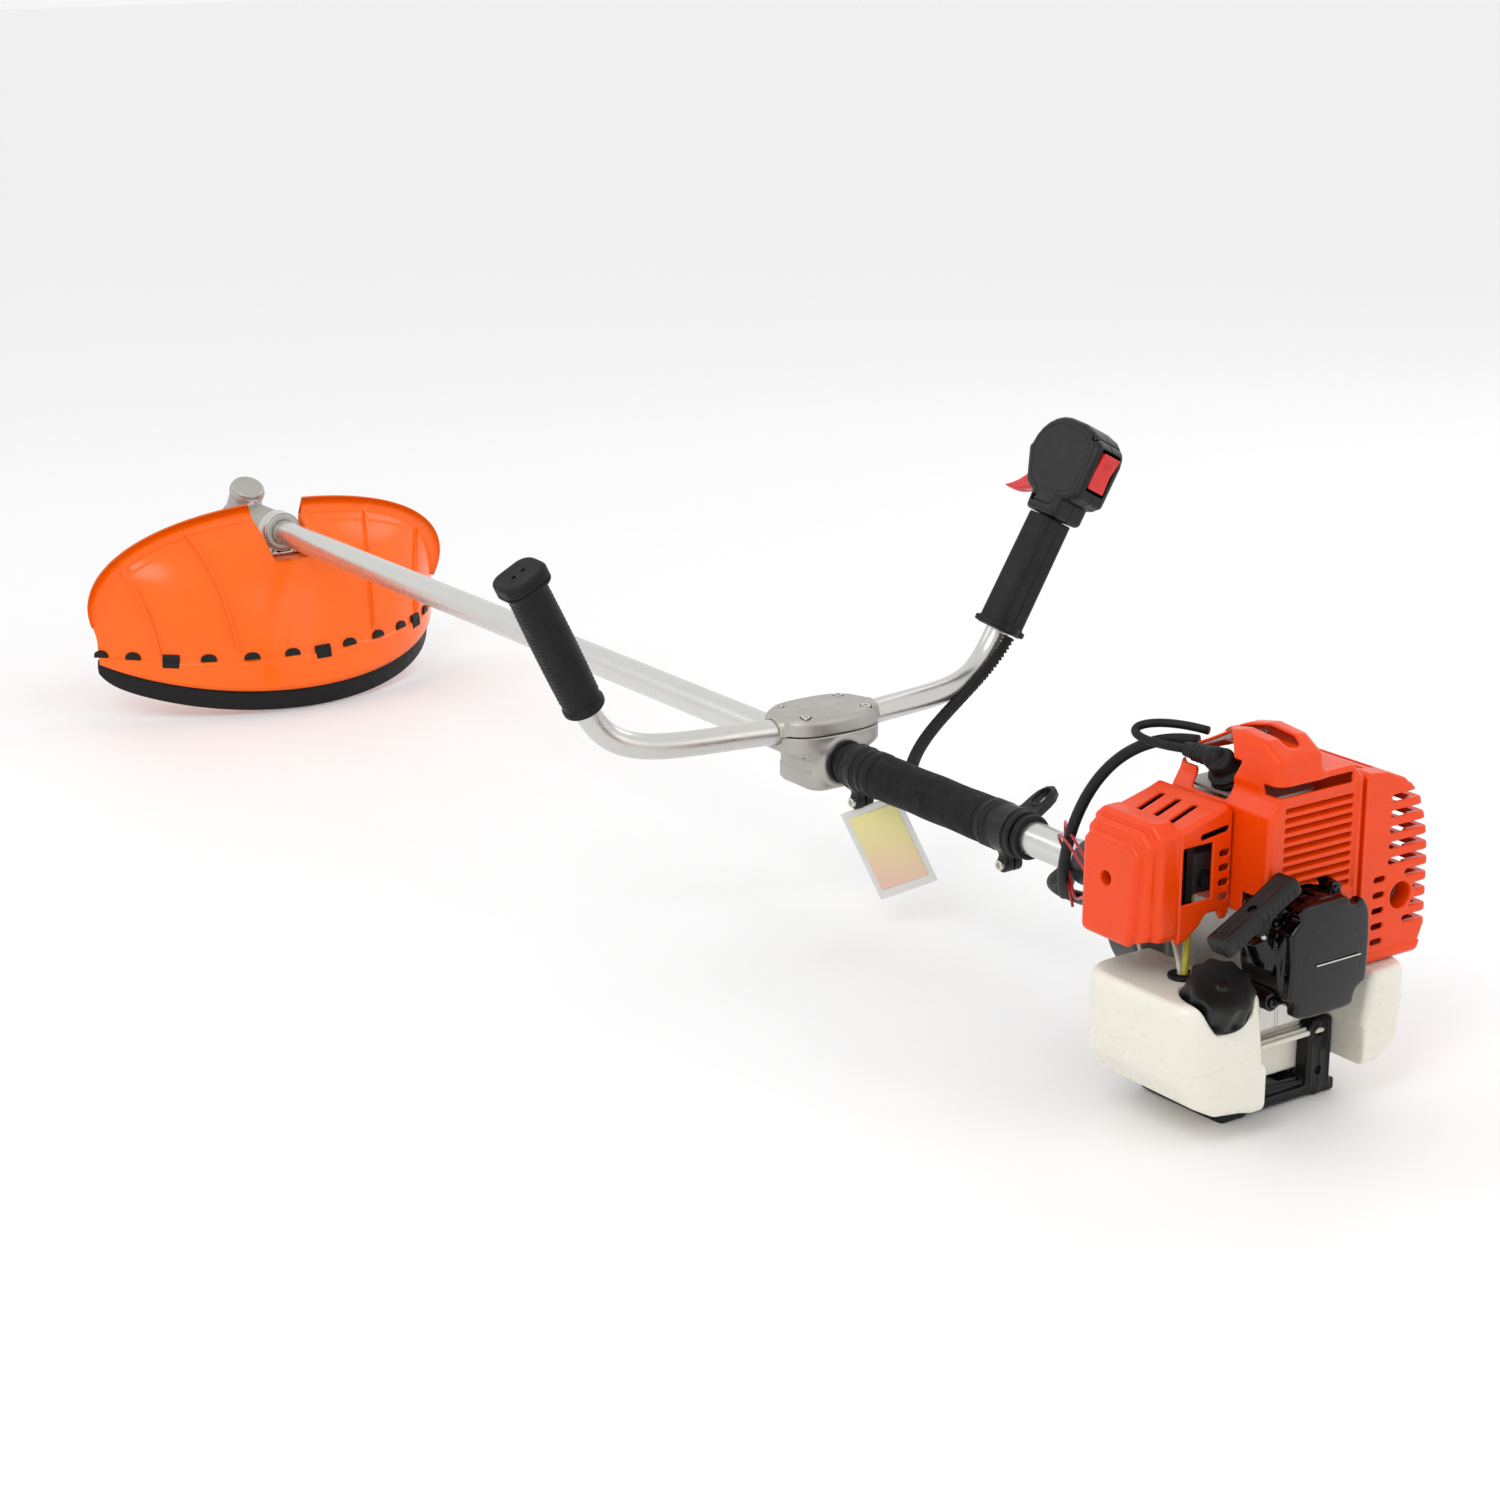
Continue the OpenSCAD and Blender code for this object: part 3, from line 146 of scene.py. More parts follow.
def rod(p, a, b, r, edge=0.8, r_end=None):
    """Cylinder or cone from a to b with rounded edges."""
    a, b = np.array(a, float), np.array(b, float)
    length = np.linalg.norm(b - a)
    d = p - a
    t = d @ ((b - a) / length)
    radial = np.sqrt(np.maximum((d * d).sum(1) - t * t, 0))
    radius = r if r_end is None else mix(r, r_end, np.clip(t / length, 0, 1))
    slope = 1.0 if r_end is None else length / math.hypot(length, r_end - r)
    u = (radial - radius) * slope + edge
    w = np.abs(t - length / 2) - (length / 2 - edge)
    inside = np.minimum(np.maximum(u, w), 0)
    return inside + np.sqrt(np.maximum(u, 0) ** 2 + np.maximum(w, 0) ** 2) - edge


def tube_rod(p, x0, x1, r, edge=0.8, r_end=None):
    """A rod on the drive tube's own line."""
    return rod(p, (x0, 0, TUBE_Z), (x1, 0, TUBE_Z), r, edge, r_end)


def capsule(p, a, b, r):
    a, b = np.array(a, float), np.array(b, float)
    d, ab = p - a, b - a
    t = np.clip(d @ ab / (ab @ ab), 0, 1)
    return np.sqrt(((d - t[:, None] * ab) ** 2).sum(1)) - r


def ball(p, c, r):
    return np.sqrt(((p - np.array(c, float)) ** 2).sum(1)) - r


def hoop(p, c, axis, ring, r):
    """Torus about a unit axis."""
    d = p - np.array(c, float)
    t = d @ np.array(axis, float)
    radial = np.sqrt(np.maximum((d * d).sum(1) - t * t, 0))
    return np.hypot(radial - ring, t) - r


def outline(u, v, points):
    """Distance to a flat polygon, negative inside."""
    points = np.array(points, float)
    best = np.full(len(u), 1e18)
    sign = np.ones(len(u))
    for a, b in zip(points, np.roll(points, 1, 0)):
        e = b - a
        wu, wv = u - a[0], v - a[1]
        t = np.clip((wu * e[0] + wv * e[1]) / (e @ e), 0, 1)
        best = np.minimum(best, (wu - t * e[0]) ** 2 + (wv - t * e[1]) ** 2)
        c1, c2 = v >= a[1], v < b[1]
        c3 = e[0] * wv > e[1] * wu
        flip = (c1 & c2 & c3) | (~c1 & ~c2 & ~c3)
        sign = np.where(flip, -sign, sign)
    return sign * np.sqrt(best)


def prism(p, axis, points, lo, hi, r=1.0, corner=0.0):
    """A flat outline given length along an axis. The outline is in the other two axes, in order.
    r rounds the end edges, and corner rounds the outline's own corners."""
    others = [i for i in range(3) if i != axis]
    d = outline(p[:, others[0]], p[:, others[1]], inset(points, corner)) - corner
    u = d + r
    w = np.abs(p[:, axis] - (lo + hi) / 2) - ((hi - lo) / 2 - r)
    inside = np.minimum(np.maximum(u, w), 0)
    return inside + np.sqrt(np.maximum(u, 0) ** 2 + np.maximum(w, 0) ** 2) - r


def inset(points, by):
    """A polygon with each side moved inwards."""
    points = np.array(points, float)
    if by == 0:
        return points
    before, after = np.roll(points, 1, 0), np.roll(points, -1, 0)
    x, y = points[:, 0], points[:, 1]
    way = np.sign((x * np.roll(y, -1) - np.roll(x, -1) * y).sum())
    n1 = np.stack([-(points - before)[:, 1], (points - before)[:, 0]], 1)
    n2 = np.stack([-(after - points)[:, 1], (after - points)[:, 0]], 1)
    n1 = way * n1 / np.linalg.norm(n1, axis=1)[:, None]
    n2 = way * n2 / np.linalg.norm(n2, axis=1)[:, None]
    bend = 1 + (n1 * n2).sum(1)
    return points + by * (n1 + n2) / np.maximum(bend, 0.3)[:, None]


def join(a, b, k=0.0):
    if k == 0:
        return np.minimum(a, b)
    h = np.maximum(k - np.abs(a - b), 0) / k
    return np.minimum(a, b) - h * h * k / 4


def cut(a, b, k=0.0):
    return -join(-a, b, k)


def meet(a, b, k=0.0):
    return -join(-a, -b, k)


def all_of(parts, k=0.0):
    total = parts[0]
    for part in parts[1:]:
        total = join(total, part, k)
    return total


def round_rect(w, h, r, steps=6):
    corners = [(w / 2 - r, h / 2 - r), (r - w / 2, h / 2 - r), (r - w / 2, r - h / 2), (w / 2 - r, r - h / 2)]
    points = []
    for k, (cx, cy) in enumerate(corners):
        for i in range(steps + 1):
            a = math.radians(90 * (k + i / steps))
            points.append((cx + r * math.cos(a), cy + r * math.sin(a)))
    return points


def mirror_y(p):
    return np.stack([p[:, 0], np.abs(p[:, 1]), p[:, 2]], 1)


def repeat(values, pitch, first, count):
    """Folds values onto the nearest of a row of places, and gives the offset from it."""
    i = np.clip(np.round((values - first) / pitch), 0, count - 1)
    return values - first - i * pitch


def in_row(p, axis, pitch, first, count):
    """Folds points onto the nearest of a row of places along an axis."""
    q = p.copy()
    q[:, axis] = repeat(p[:, axis], pitch, first, count)
    return q


def around(p, count, axis=2):
    """Folds points onto one sector about an axis through the origin."""
    u, v = [i for i in range(3) if i != axis]
    radius = np.hypot(p[:, u], p[:, v])
    step = 2 * math.pi / count
    a = np.arctan2(p[:, v], p[:, u])
    a = a - step * np.round(a / step)
    q = p.copy()
    q[:, u], q[:, v] = radius * np.cos(a), radius * np.sin(a)
    return q


# ---- meshes -------------------------------------------------------------------------------

def in_chunks(shape, points, size=400000):
    return np.concatenate([shape(points[i:i + size]) for i in range(0, len(points), size)])


def sample(shape, lo, step, counts, block=8):
    """The shape's distances on a grid, worked out in full only near its surface."""
    tiles = [math.ceil(c / block) for c in counts]
    field = np.empty([t * block for t in tiles], np.float32)
    steps = np.stack(np.meshgrid(*[np.arange(t) for t in tiles], indexing="ij"), -1).reshape(-1, 3)
    middle = lo + (steps * block + (block - 1) / 2) * step
    far = in_chunks(shape, middle)
    reach = step * block * math.sqrt(3) / 2 * 1.25 + step
    spread = field.reshape(tiles[0], block, tiles[1], block, tiles[2], block)
    spread[...] = np.where(far > 0, 1e3, -1e3).reshape(tiles)[:, None, :, None, :, None]
    near = steps[np.abs(far) < reach]
    inner = np.stack(np.meshgrid(*[np.arange(block)] * 3, indexing="ij"), -1).reshape(-1, 3)
    for i in range(0, len(near), 512):
        group = near[i:i + 512]
        points = lo + (group[:, None] * block + inner[None]) * step
        found = shape(points.reshape(-1, 3)).reshape(len(group), block, block, block)
        spread[group[:, 0], :, group[:, 1], :, group[:, 2], :] = found
    return field


def surface_net(field, lo, step):
    """Vertices and quads where the field changes sign."""
    inside = field < 0
    total = np.zeros([n - 1 for n in field.shape], np.int8)
    corners = [(i, j, k) for i in (0, 1) for j in (0, 1) for k in (0, 1)]
    for i, j, k in corners:
        total += inside[i:i + total.shape[0], j:j + total.shape[1], k:k + total.shape[2]]
    cells = np.argwhere((total > 0) & (total < 8))
    index = np.full(total.shape, -1, np.int32)
    index[tuple(cells.T)] = np.arange(len(cells))
    values = {c: field[tuple((cells + c).T)] for c in corners}
    place, count = np.zeros((len(cells), 3)), np.zeros(len(cells))
    for a in corners:
        for axis in range(3):
            if a[axis]:
                continue
            b = tuple(a[i] + (i == axis) for i in range(3))
            va, vb = values[a], values[b]
            crossing = (va < 0) != (vb < 0)
            t = np.where(crossing, va / np.where(crossing, va - vb, 1), 0)
            point = np.array(a, float) + t[:, None] * (np.arange(3) == axis)
            place += point * crossing[:, None]
            count += crossing
    vertices = lo + (cells + place / count[:, None]) * step
    quads = []
    for axis in range(3):
        u, v = (axis + 1) % 3, (axis + 2) % 3
        first = np.take(inside, range(field.shape[axis] - 1), axis)
        second = np.take(inside, range(1, field.shape[axis]), axis)
        edges = np.argwhere(first != second)
        edges = edges[(edges[:, u] > 0) & (edges[:, v] > 0)]
        edges = edges[(edges[:, u] < total.shape[u]) & (edges[:, v] < total.shape[v])]
        du, dv = np.eye(3, dtype=int)[u], np.eye(3, dtype=int)[v]
        ring = [edges, edges - du, edges - du - dv, edges - dv]
        quad = np.stack([index[tuple(c.T)] for c in ring], 1)
        outward = inside[tuple(edges.T)]
        quads.append(np.where(outward[:, None], quad, quad[:, ::-1]))
    return vertices, np.concatenate(quads)


def settle(shape, vertices, step, rounds=2):
    """Moves vertices onto the surface itself."""
    h = 0.25 * step
    ways = vec(1, -1, -1), vec(-1, -1, 1), vec(-1, 1, -1), vec(1, 1, 1)
    for _ in range(rounds):
        found = [in_chunks(shape, vertices + h * w) for w in ways]
        slope = sum(f[:, None] * w for f, w in zip(found, ways)) / (4 * h)
        level = sum(found) / 4
        size = np.maximum((slope ** 2).sum(1), 0.3)
        move = slope * (level / size)[:, None]
        length = np.sqrt((move ** 2).sum(1))[:, None]
        vertices = vertices - move * np.minimum(1, 0.6 * step / np.maximum(length, 1e-9))
    return vertices


def make_mesh(name, vertices, faces, smooth=True):
    """An object from points in millimetres and faces that all have the same number of corners."""
    mesh = bpy.data.meshes.new(name)
    faces = np.asarray(faces, np.int32)
    sides = faces.shape[1]
    mesh.vertices.add(len(vertices))
    mesh.vertices.foreach_set("co", (np.asarray(vertices) * MM).astype(np.float32).ravel())
    mesh.loops.add(faces.size)
    mesh.loops.foreach_set("vertex_index", faces.ravel())
    mesh.polygons.add(len(faces))
    mesh.polygons.foreach_set("loop_start", np.arange(0, faces.size, sides, dtype=np.int32))
    mesh.polygons.foreach_set("use_smooth", np.full(len(faces), smooth))
    mesh.update(calc_edges=True)
    mesh.validate()
    obj = bpy.data.objects.new(name, mesh)
    bpy.context.scene.collection.objects.link(obj)
    return obj


def net_of(shape, lo, hi, step=1.0, place=ROW):
    """Vertices and quads of a distance shape that lies between the corners lo and hi of a place."""
    step = step * COARSE
    lo, hi = np.array(lo, float) - 2.3 * step, np.array(hi, float) + 2.3 * step
    counts = np.ceil((hi - lo) / step).astype(int) + 1
    field = sample(shape, lo, step, counts)
    vertices, quads = surface_net(field, lo, step)
    vertices = settle(shape, vertices, step)
    return place.world(vertices), quads


def solid(name, shape, lo, hi, step=1.0, place=ROW):
    return make_mesh(name, *net_of(shape, lo, hi, step, place))


def gather(name, nets):
    """One mesh of several nets."""
    vertices, faces, start = [], [], 0
    for points, quads in nets:
        vertices.append(points)
        faces.append(np.asarray(quads) + start)
        start += len(points)
    return make_mesh(name, np.concatenate(vertices), np.concatenate(faces))


def skin(loops, ends="fan"):
    """Vertices and quads through loops of points. The ends are closed with a fan, or with a strip
    across a thin loop, or the last loop is joined to the first."""
    loops = np.array(loops, float)
    n, m = loops.shape[:2]
    vertices = loops.reshape(-1, 3)
    i = np.arange(n if ends == "wrap" else n - 1)[:, None]
    j = np.arange(m)[None, :]
    a, b, k = i * m, (i + 1) % n * m, (j + 1) % m
    faces = np.stack([a + j, a + k, b + k, b + j], -1).reshape(-1, 4)
    caps = []
    top = (n - 1) * m
    if ends == "fan":
        first, last = len(vertices), len(vertices) + 1
        vertices = np.concatenate([vertices, [loops[0].mean(0), loops[-1].mean(0)]])
        for j in range(0, m, 2):
            caps.append(((j + 2) % m, j + 1, j, first))
            caps.append((top + j, top + j + 1, top + (j + 2) % m, last))
    if ends == "strip":
        for j in range(m // 2 - 1):
            caps.append((m - 1 - j, m - 2 - j, j + 1, j))
            caps.append((top + j, top + j + 1, top + m - 2 - j, top + m - 1 - j))
    if caps:
        faces = np.concatenate([faces, np.array(caps)])
    return vertices, faces


def loft(name, loops):
    return make_mesh(name, *skin(loops))


def frames_along(path):
    """Two cross directions at each point of a path, without twist."""
    path = np.array(path, float)
    ahead = np.gradient(path, axis=0)
    ahead /= np.linalg.norm(ahead, axis=1)[:, None]
    start = vec(0, 0, 1) if abs(ahead[0][2]) < 0.9 else vec(1, 0, 0)
    side = start
    sides = []
    for d in ahead:
        side = side - (side @ d) * d
        side = side / np.linalg.norm(side)
        sides.append(side)
    sides = np.array(sides)
    return sides, np.cross(ahead, sides)


def rings_along(path, radii, sides=24):
    """Circles round a path, with a radius at each of its points."""
    path = np.array(path, float)
    radii = np.broadcast_to(radii, (len(path),))
    u, v = frames_along(path)
    angles = np.arange(sides) * 2 * math.pi / sides
    across = u[:, None] * np.cos(angles)[None, :, None] + v[:, None] * np.sin(angles)[None, :, None]
    return path[:, None] + radii[:, None, None] * across


def sweep(name, path, radii, sides=24):
    return loft(name, rings_along(path, radii, sides))


def curve_through(points, steps=10):
    """A smooth path through the given points."""
    pts = np.array(points, float)
    pts = np.concatenate([[2 * pts[0] - pts[1]], pts, [2 * pts[-1] - pts[-2]]])
    path = []
    for i in range(1, len(pts) - 2):
        p0, p1, p2, p3 = pts[i - 1:i + 3]
        for t in np.arange(steps) / steps:
            path.append(0.5 * (2 * p1 + (p2 - p0) * t + (2 * p0 - 5 * p1 + 4 * p2 - p3) * t ** 2
                               + (3 * p1 - p0 - 3 * p2 + p3) * t ** 3))
    path.append(pts[-2])
    return np.array(path)


def bezier(a, b, c, d, steps):
    t = np.linspace(0, 1, steps + 1)[:, None]
    s = 1 - t
    a, b, c, d = [np.array(q, float) for q in (a, b, c, d)]
    return s ** 3 * a + 3 * s * s * t * b + 3 * s * t * t * c + t ** 3 * d


def even(path, pitch):
    """The same path with points an even distance apart."""
    path = np.array(path, float)
    run = np.concatenate([[0], np.cumsum(np.linalg.norm(np.diff(path, axis=0), axis=1))])
    count = max(2, int(run[-1] / pitch))
    at = np.linspace(0, run[-1], count + 1)
    return np.stack([np.interp(at, run, path[:, i]) for i in range(3)], 1)


def turned(profile, place, sides):
    """A round net from a profile of (height, radius) about a place's Z. The profile runs up the
    outside and down the inside."""
    angles = np.arange(sides) * 2 * math.pi / sides
    ring = np.stack([np.cos(angles), np.sin(angles), 0 * angles], 1)
    return skin([place.world(ring * max(r, 0.01) + vec(0, 0, z)) for z, r in profile], "wrap")


def ring_profile(z0, z1, outer, inner, e):
    """A plain ring's profile with rounded outer edges."""
    return [(z0, inner), (z0, outer - e), (z0 + 0.3 * e, outer - 0.3 * e), (z0 + e, outer), (z1 - e, outer),
            (z1 - 0.3 * e, outer - 0.3 * e), (z1, outer - e), (z1, inner)]


# ---- materials ----------------------------------------------------------------------------

def srgb(r, g, b):
    def linear(c):
        c /= 255
        return c / 12.92 if c <= 0.04045 else ((c + 0.055) / 1.055) ** 2.4
    return linear(r), linear(g), linear(b)


class Nodes:
    """Short calls for a material's node tree."""

    def __init__(self, material):
        material.use_nodes = True
        self.tree = material.node_tree
        self.tree.nodes.clear()

    def add(self, kind, inputs=None, **settings):
        node = self.tree.nodes.new(kind)
        for key, value in settings.items():
            setattr(node, key, value)
        for key, value in (inputs or {}).items():
            if isinstance(value, bpy.types.NodeSocket):
                self.tree.links.new(value, node.inputs[key])
            else:
                node.inputs[key].default_value = value
        return node

    def noise(self, where, size_mm, detail=3.0, rough=0.55):
        scale = 1 / (size_mm * MM)
        node = self.add("ShaderNodeTexNoise", {"Vector": where, "Scale": scale, "Detail": detail,
                                               "Roughness": rough})
        return node.outputs["Fac"]

    def span(self, value, lo, hi, out_lo, out_hi):
        inputs = {"Value": value, "From Min": lo, "From Max": hi, "To Min": out_lo, "To Max": out_hi}
        return self.add("ShaderNodeMapRange", inputs).outputs["Result"]

    def blend(self, amount, a, b):
        node = self.add("ShaderNodeMix", data_type="RGBA")
        for socket, value in ((node.inputs[0], amount), (node.inputs[6], a), (node.inputs[7], b)):
            if isinstance(value, bpy.types.NodeSocket):
                self.tree.links.new(value, socket)
            else:
                socket.default_value = value
        return node.outputs[2]

    def math(self, kind, a, b):
        return self.add("ShaderNodeMath", {0: a, 1: b}, operation=kind).outputs[0]

    def edges(self, radius_mm):
        """1 on convex edges, 0 on flats."""
        rounded = self.add("ShaderNodeBevel", {"Radius": radius_mm * MM}, samples=4).outputs[0]
        true = self.add("ShaderNodeNewGeometry").outputs["Normal"]
        dot = self.add("ShaderNodeVectorMath", {0: rounded, 1: true},
                       operation="DOT_PRODUCT").outputs["Value"]
        return self.span(dot, 0.99, 0.86, 0.0, 1.0)


def shade(colour, by):
    return tuple(min(1, c * by) for c in colour) + (1,)


def surface(name, colour, rough, metal=0.0, grain=0.5, depth=0.08, mottle=0.07, wear=0.25,
            stretch=(1, 1, 1), coat=0.0, glow=0.0, soft_edge=0.0, shine=0.5):
    """A material with mottled colour, uneven gloss, a fine grain and, with wear, rubbed edges.
    grain is the grain's size and depth its height, in millimetres; stretch draws the grain out."""
    material = bpy.data.materials.new(name)
    n = Nodes(material)
    where = n.add("ShaderNodeTexCoord").outputs["Object"]
    drawn = n.add("ShaderNodeVectorMath", {0: where, 1: stretch}, operation="MULTIPLY").outputs[0]
    broad = n.noise(where, 35, 2)
    fleck = n.noise(where, 2.5, 4)
    fine = n.noise(drawn, grain, 3, 0.6)
    smudge = n.noise(where, 11, 5, 0.65)
    base = n.blend(n.span(broad, 0.3, 0.7, 0, 1), shade(colour, 1 - mottle), shade(colour, 1 + mottle))
    base = n.blend(n.span(fleck, 0.45, 0.75, 0, 0.5), base, shade(colour, 1 - 1.4 * mottle))
    gloss = n.span(smudge, 0.3, 0.75, rough * 0.82, rough * 1.22)
    if wear:
        rubbed = n.math("MULTIPLY", n.edges(0.9), n.span(smudge, 0.42, 0.68, 0.15, wear * 2))
        lighter = tuple(min(1, c * 1.25 + 0.06) for c in colour) + (1,)
        base = n.blend(rubbed, base, lighter)
        gloss = n.math("ADD", gloss, n.math("MULTIPLY", rubbed, 0.15))
    bump_inputs = {"Height": fine, "Distance": depth * MM, "Strength": 0.6}
    if soft_edge:
        bump_inputs["Normal"] = n.add("ShaderNodeBevel", {"Radius": soft_edge * MM}, samples=4).outputs[0]
    bump = n.add("ShaderNodeBump", bump_inputs).outputs[0]
    inputs = {"Base Color": base, "Roughness": gloss, "Metallic": metal, "Normal": bump,
              "Coat Weight": coat, "Coat Roughness": 0.12, "Specular IOR Level": shine}
    if glow:
        inputs["Subsurface Weight"] = glow
        inputs["Subsurface Radius"] = (0.9, 0.8, 0.6)
        inputs["Subsurface Scale"] = 0.012
    body = n.add("ShaderNodeBsdfPrincipled", inputs)
    n.add("ShaderNodeOutputMaterial", {"Surface": body.outputs[0]})
    return material


LIVERY = srgb(232, 66, 0)
BLACK = srgb(13, 13, 14)


def tinted_card():
    """Card that fades from yellow at the top to pink at the bottom."""
    material = bpy.data.materials.new("plain_card")
    n = Nodes(material)
    where = n.add("ShaderNodeTexCoord").outputs["Object"]
    height = n.add("ShaderNodeSeparateXYZ", {0: where}).outputs["Z"]
    yellow, pink = srgb(226, 218, 150) + (1,), srgb(226, 186, 170) + (1,)
    tint = n.blend(n.span(height, 25 * MM, 80 * MM, 0, 1), pink, yellow)
    paper = n.noise(where, 0.6, 3)
    bump = n.add("ShaderNodeBump", {"Height": paper, "Distance": 0.02 * MM, "Strength": 0.5}).outputs[0]
    body = n.add("ShaderNodeBsdfPrincipled", {"Base Color": tint, "Roughness": 0.5, "Normal": bump})
    n.add("ShaderNodeOutputMaterial", {"Surface": body.outputs[0]})
    return material


looks = {
    "orange": surface("moulded_orange", LIVERY, 0.3, grain=0.7, depth=0.012, mottle=0.03, wear=0, coat=0.05,
                      shine=0.3),
    "guard": surface("guard_orange", srgb(255, 103, 0), 0.22, grain=1.2, depth=0.012, mottle=0.02, wear=0,
                     coat=0.2, shine=0.3),
    "black": surface("moulded_black", BLACK, 0.4, grain=0.45, depth=0.07, mottle=0.12, wear=0.12, shine=0.35),
    "glossblack": surface("gloss_black", srgb(5, 5, 6), 0.16, grain=0.9, depth=0.006, mottle=0.1, wear=0,
                          coat=0.15, shine=0.35),
    "rubber": surface("rubber", srgb(11, 11, 12), 0.55, grain=0.35, depth=0.1, mottle=0.14, wear=0.1,
                      shine=0.3),
    "foam": surface("foam", srgb(16, 16, 17), 0.8, grain=0.9, depth=0.25, mottle=0.2, wear=0, shine=0.3),
    "cast": surface("cast_alloy", srgb(178, 175, 169), 0.42, 0.75, grain=0.8, depth=0.09, mottle=0.06,
                    wear=0.4),
    "darkcast": surface("dark_cast", srgb(72, 72, 74), 0.45, 0.6, grain=0.8, depth=0.09, mottle=0.08,
                        wear=0.4),
    "tube": surface("satin_tube", srgb(212, 212, 209), 0.27, 0.9, grain=0.5, depth=0.002, mottle=0.012,
                    wear=0, stretch=(0.05, 1, 1)),
    "bar": surface("satin_bar", srgb(208, 206, 202), 0.3, 0.85, grain=0.6, depth=0.002, mottle=0.012, wear=0),
    "steel": surface("plain_steel", srgb(136, 136, 138), 0.36, 0.95, grain=0.5, depth=0.05, mottle=0.1,
                     wear=0.5, soft_edge=0.35),
    "bright": surface("bright_zinc", srgb(208, 206, 200), 0.24, 0.95, grain=0.4, depth=0.03, mottle=0.06,
                      wear=0.4),
    "red": surface("moulded_red", srgb(212, 26, 30), 0.33, grain=0.4, depth=0.03, mottle=0.05, wear=0.2,
                   coat=0.15),
    "tank": surface("tank_cream", srgb(234, 228, 213), 0.3, grain=1.5, depth=0.008, mottle=0.01, wear=0,
                    coat=0.2, glow=0.35),
    "piston": surface("piston_alloy", srgb(200, 200, 200), 0.3, 0.9, grain=0.4, depth=0.02, mottle=0.05),
    "line": surface("fuel_hose", srgb(176, 166, 44), 0.3, grain=0.6, depth=0.02, mottle=0.1, coat=0.3,
                    glow=0.2),
    "vent": surface("vent_hose", srgb(222, 218, 205), 0.3, grain=0.6, depth=0.02, mottle=0.05, coat=0.3,
                    glow=0.3),
    "pouch": surface("clear_pouch", srgb(205, 207, 205), 0.12, grain=2, depth=0.01, mottle=0.02, coat=0.6,
                     glow=0.3),
    "card": tinted_card(),
    "floor": surface("studio_floor", (0.93, 0.93, 0.93), 0.6, grain=6, depth=0.02, mottle=0.004, wear=0.0),
    "wire": surface("red_wire", srgb(176, 18, 34), 0.35, grain=0.5, depth=0.02, mottle=0.08, coat=0.2),
}


def finish_piece(obj, look, body, *nodes, slot=None):
    """Material, body and the CAD nodes that the piece stands for."""
    obj.data.materials.clear()
    obj.data.materials.append(looks[look])
    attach(obj, body)
    if nodes:
        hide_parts(*nodes)
    return obj


def mould(name, shape, lo, hi, step, look, body, *nodes, place=ROW, slot=None):
    """A distance shape made into a finished piece."""
    return finish_piece(solid(name, shape, lo, hi, step, place), look, body, *nodes, slot=slot)


# ---- engine covers ------------------------------------------------------------------------

WALL = 2.5
LOUVRES = 10
LOUVRE_PITCH = 7.2
COMB_PITCH = 12
STARTER = vec(0, -5, 134)
STARTER_SCREWS = [(-40, 102), (17, 174), (-40, 168)]


def cover_body(p, grow=0.0):
    """The top cover's outer form: a box with sloping shoulders and an arched carrying handle."""
    lo, hi = box_mm("top_cover")
    shoulders = [(-43, 150), (-43, 236), (-27, 262), (38, 262), (49, 251), (49, 150)]
    body = prism(p, 0, shoulders, lo[0], hi[0], 3.5, 4)
    arch = [(lo[0] + 2, 250), (lo[0] + 2, 262), (0, 272), (22, 286), (42, 290), (66, 287.5), (hi[0] - 1, 276),
            (hi[0] - 1, 250)]
    handle = prism(p, 1, arch, -37, 9, 6.5, 7)
    return join(body, handle, 7) - grow


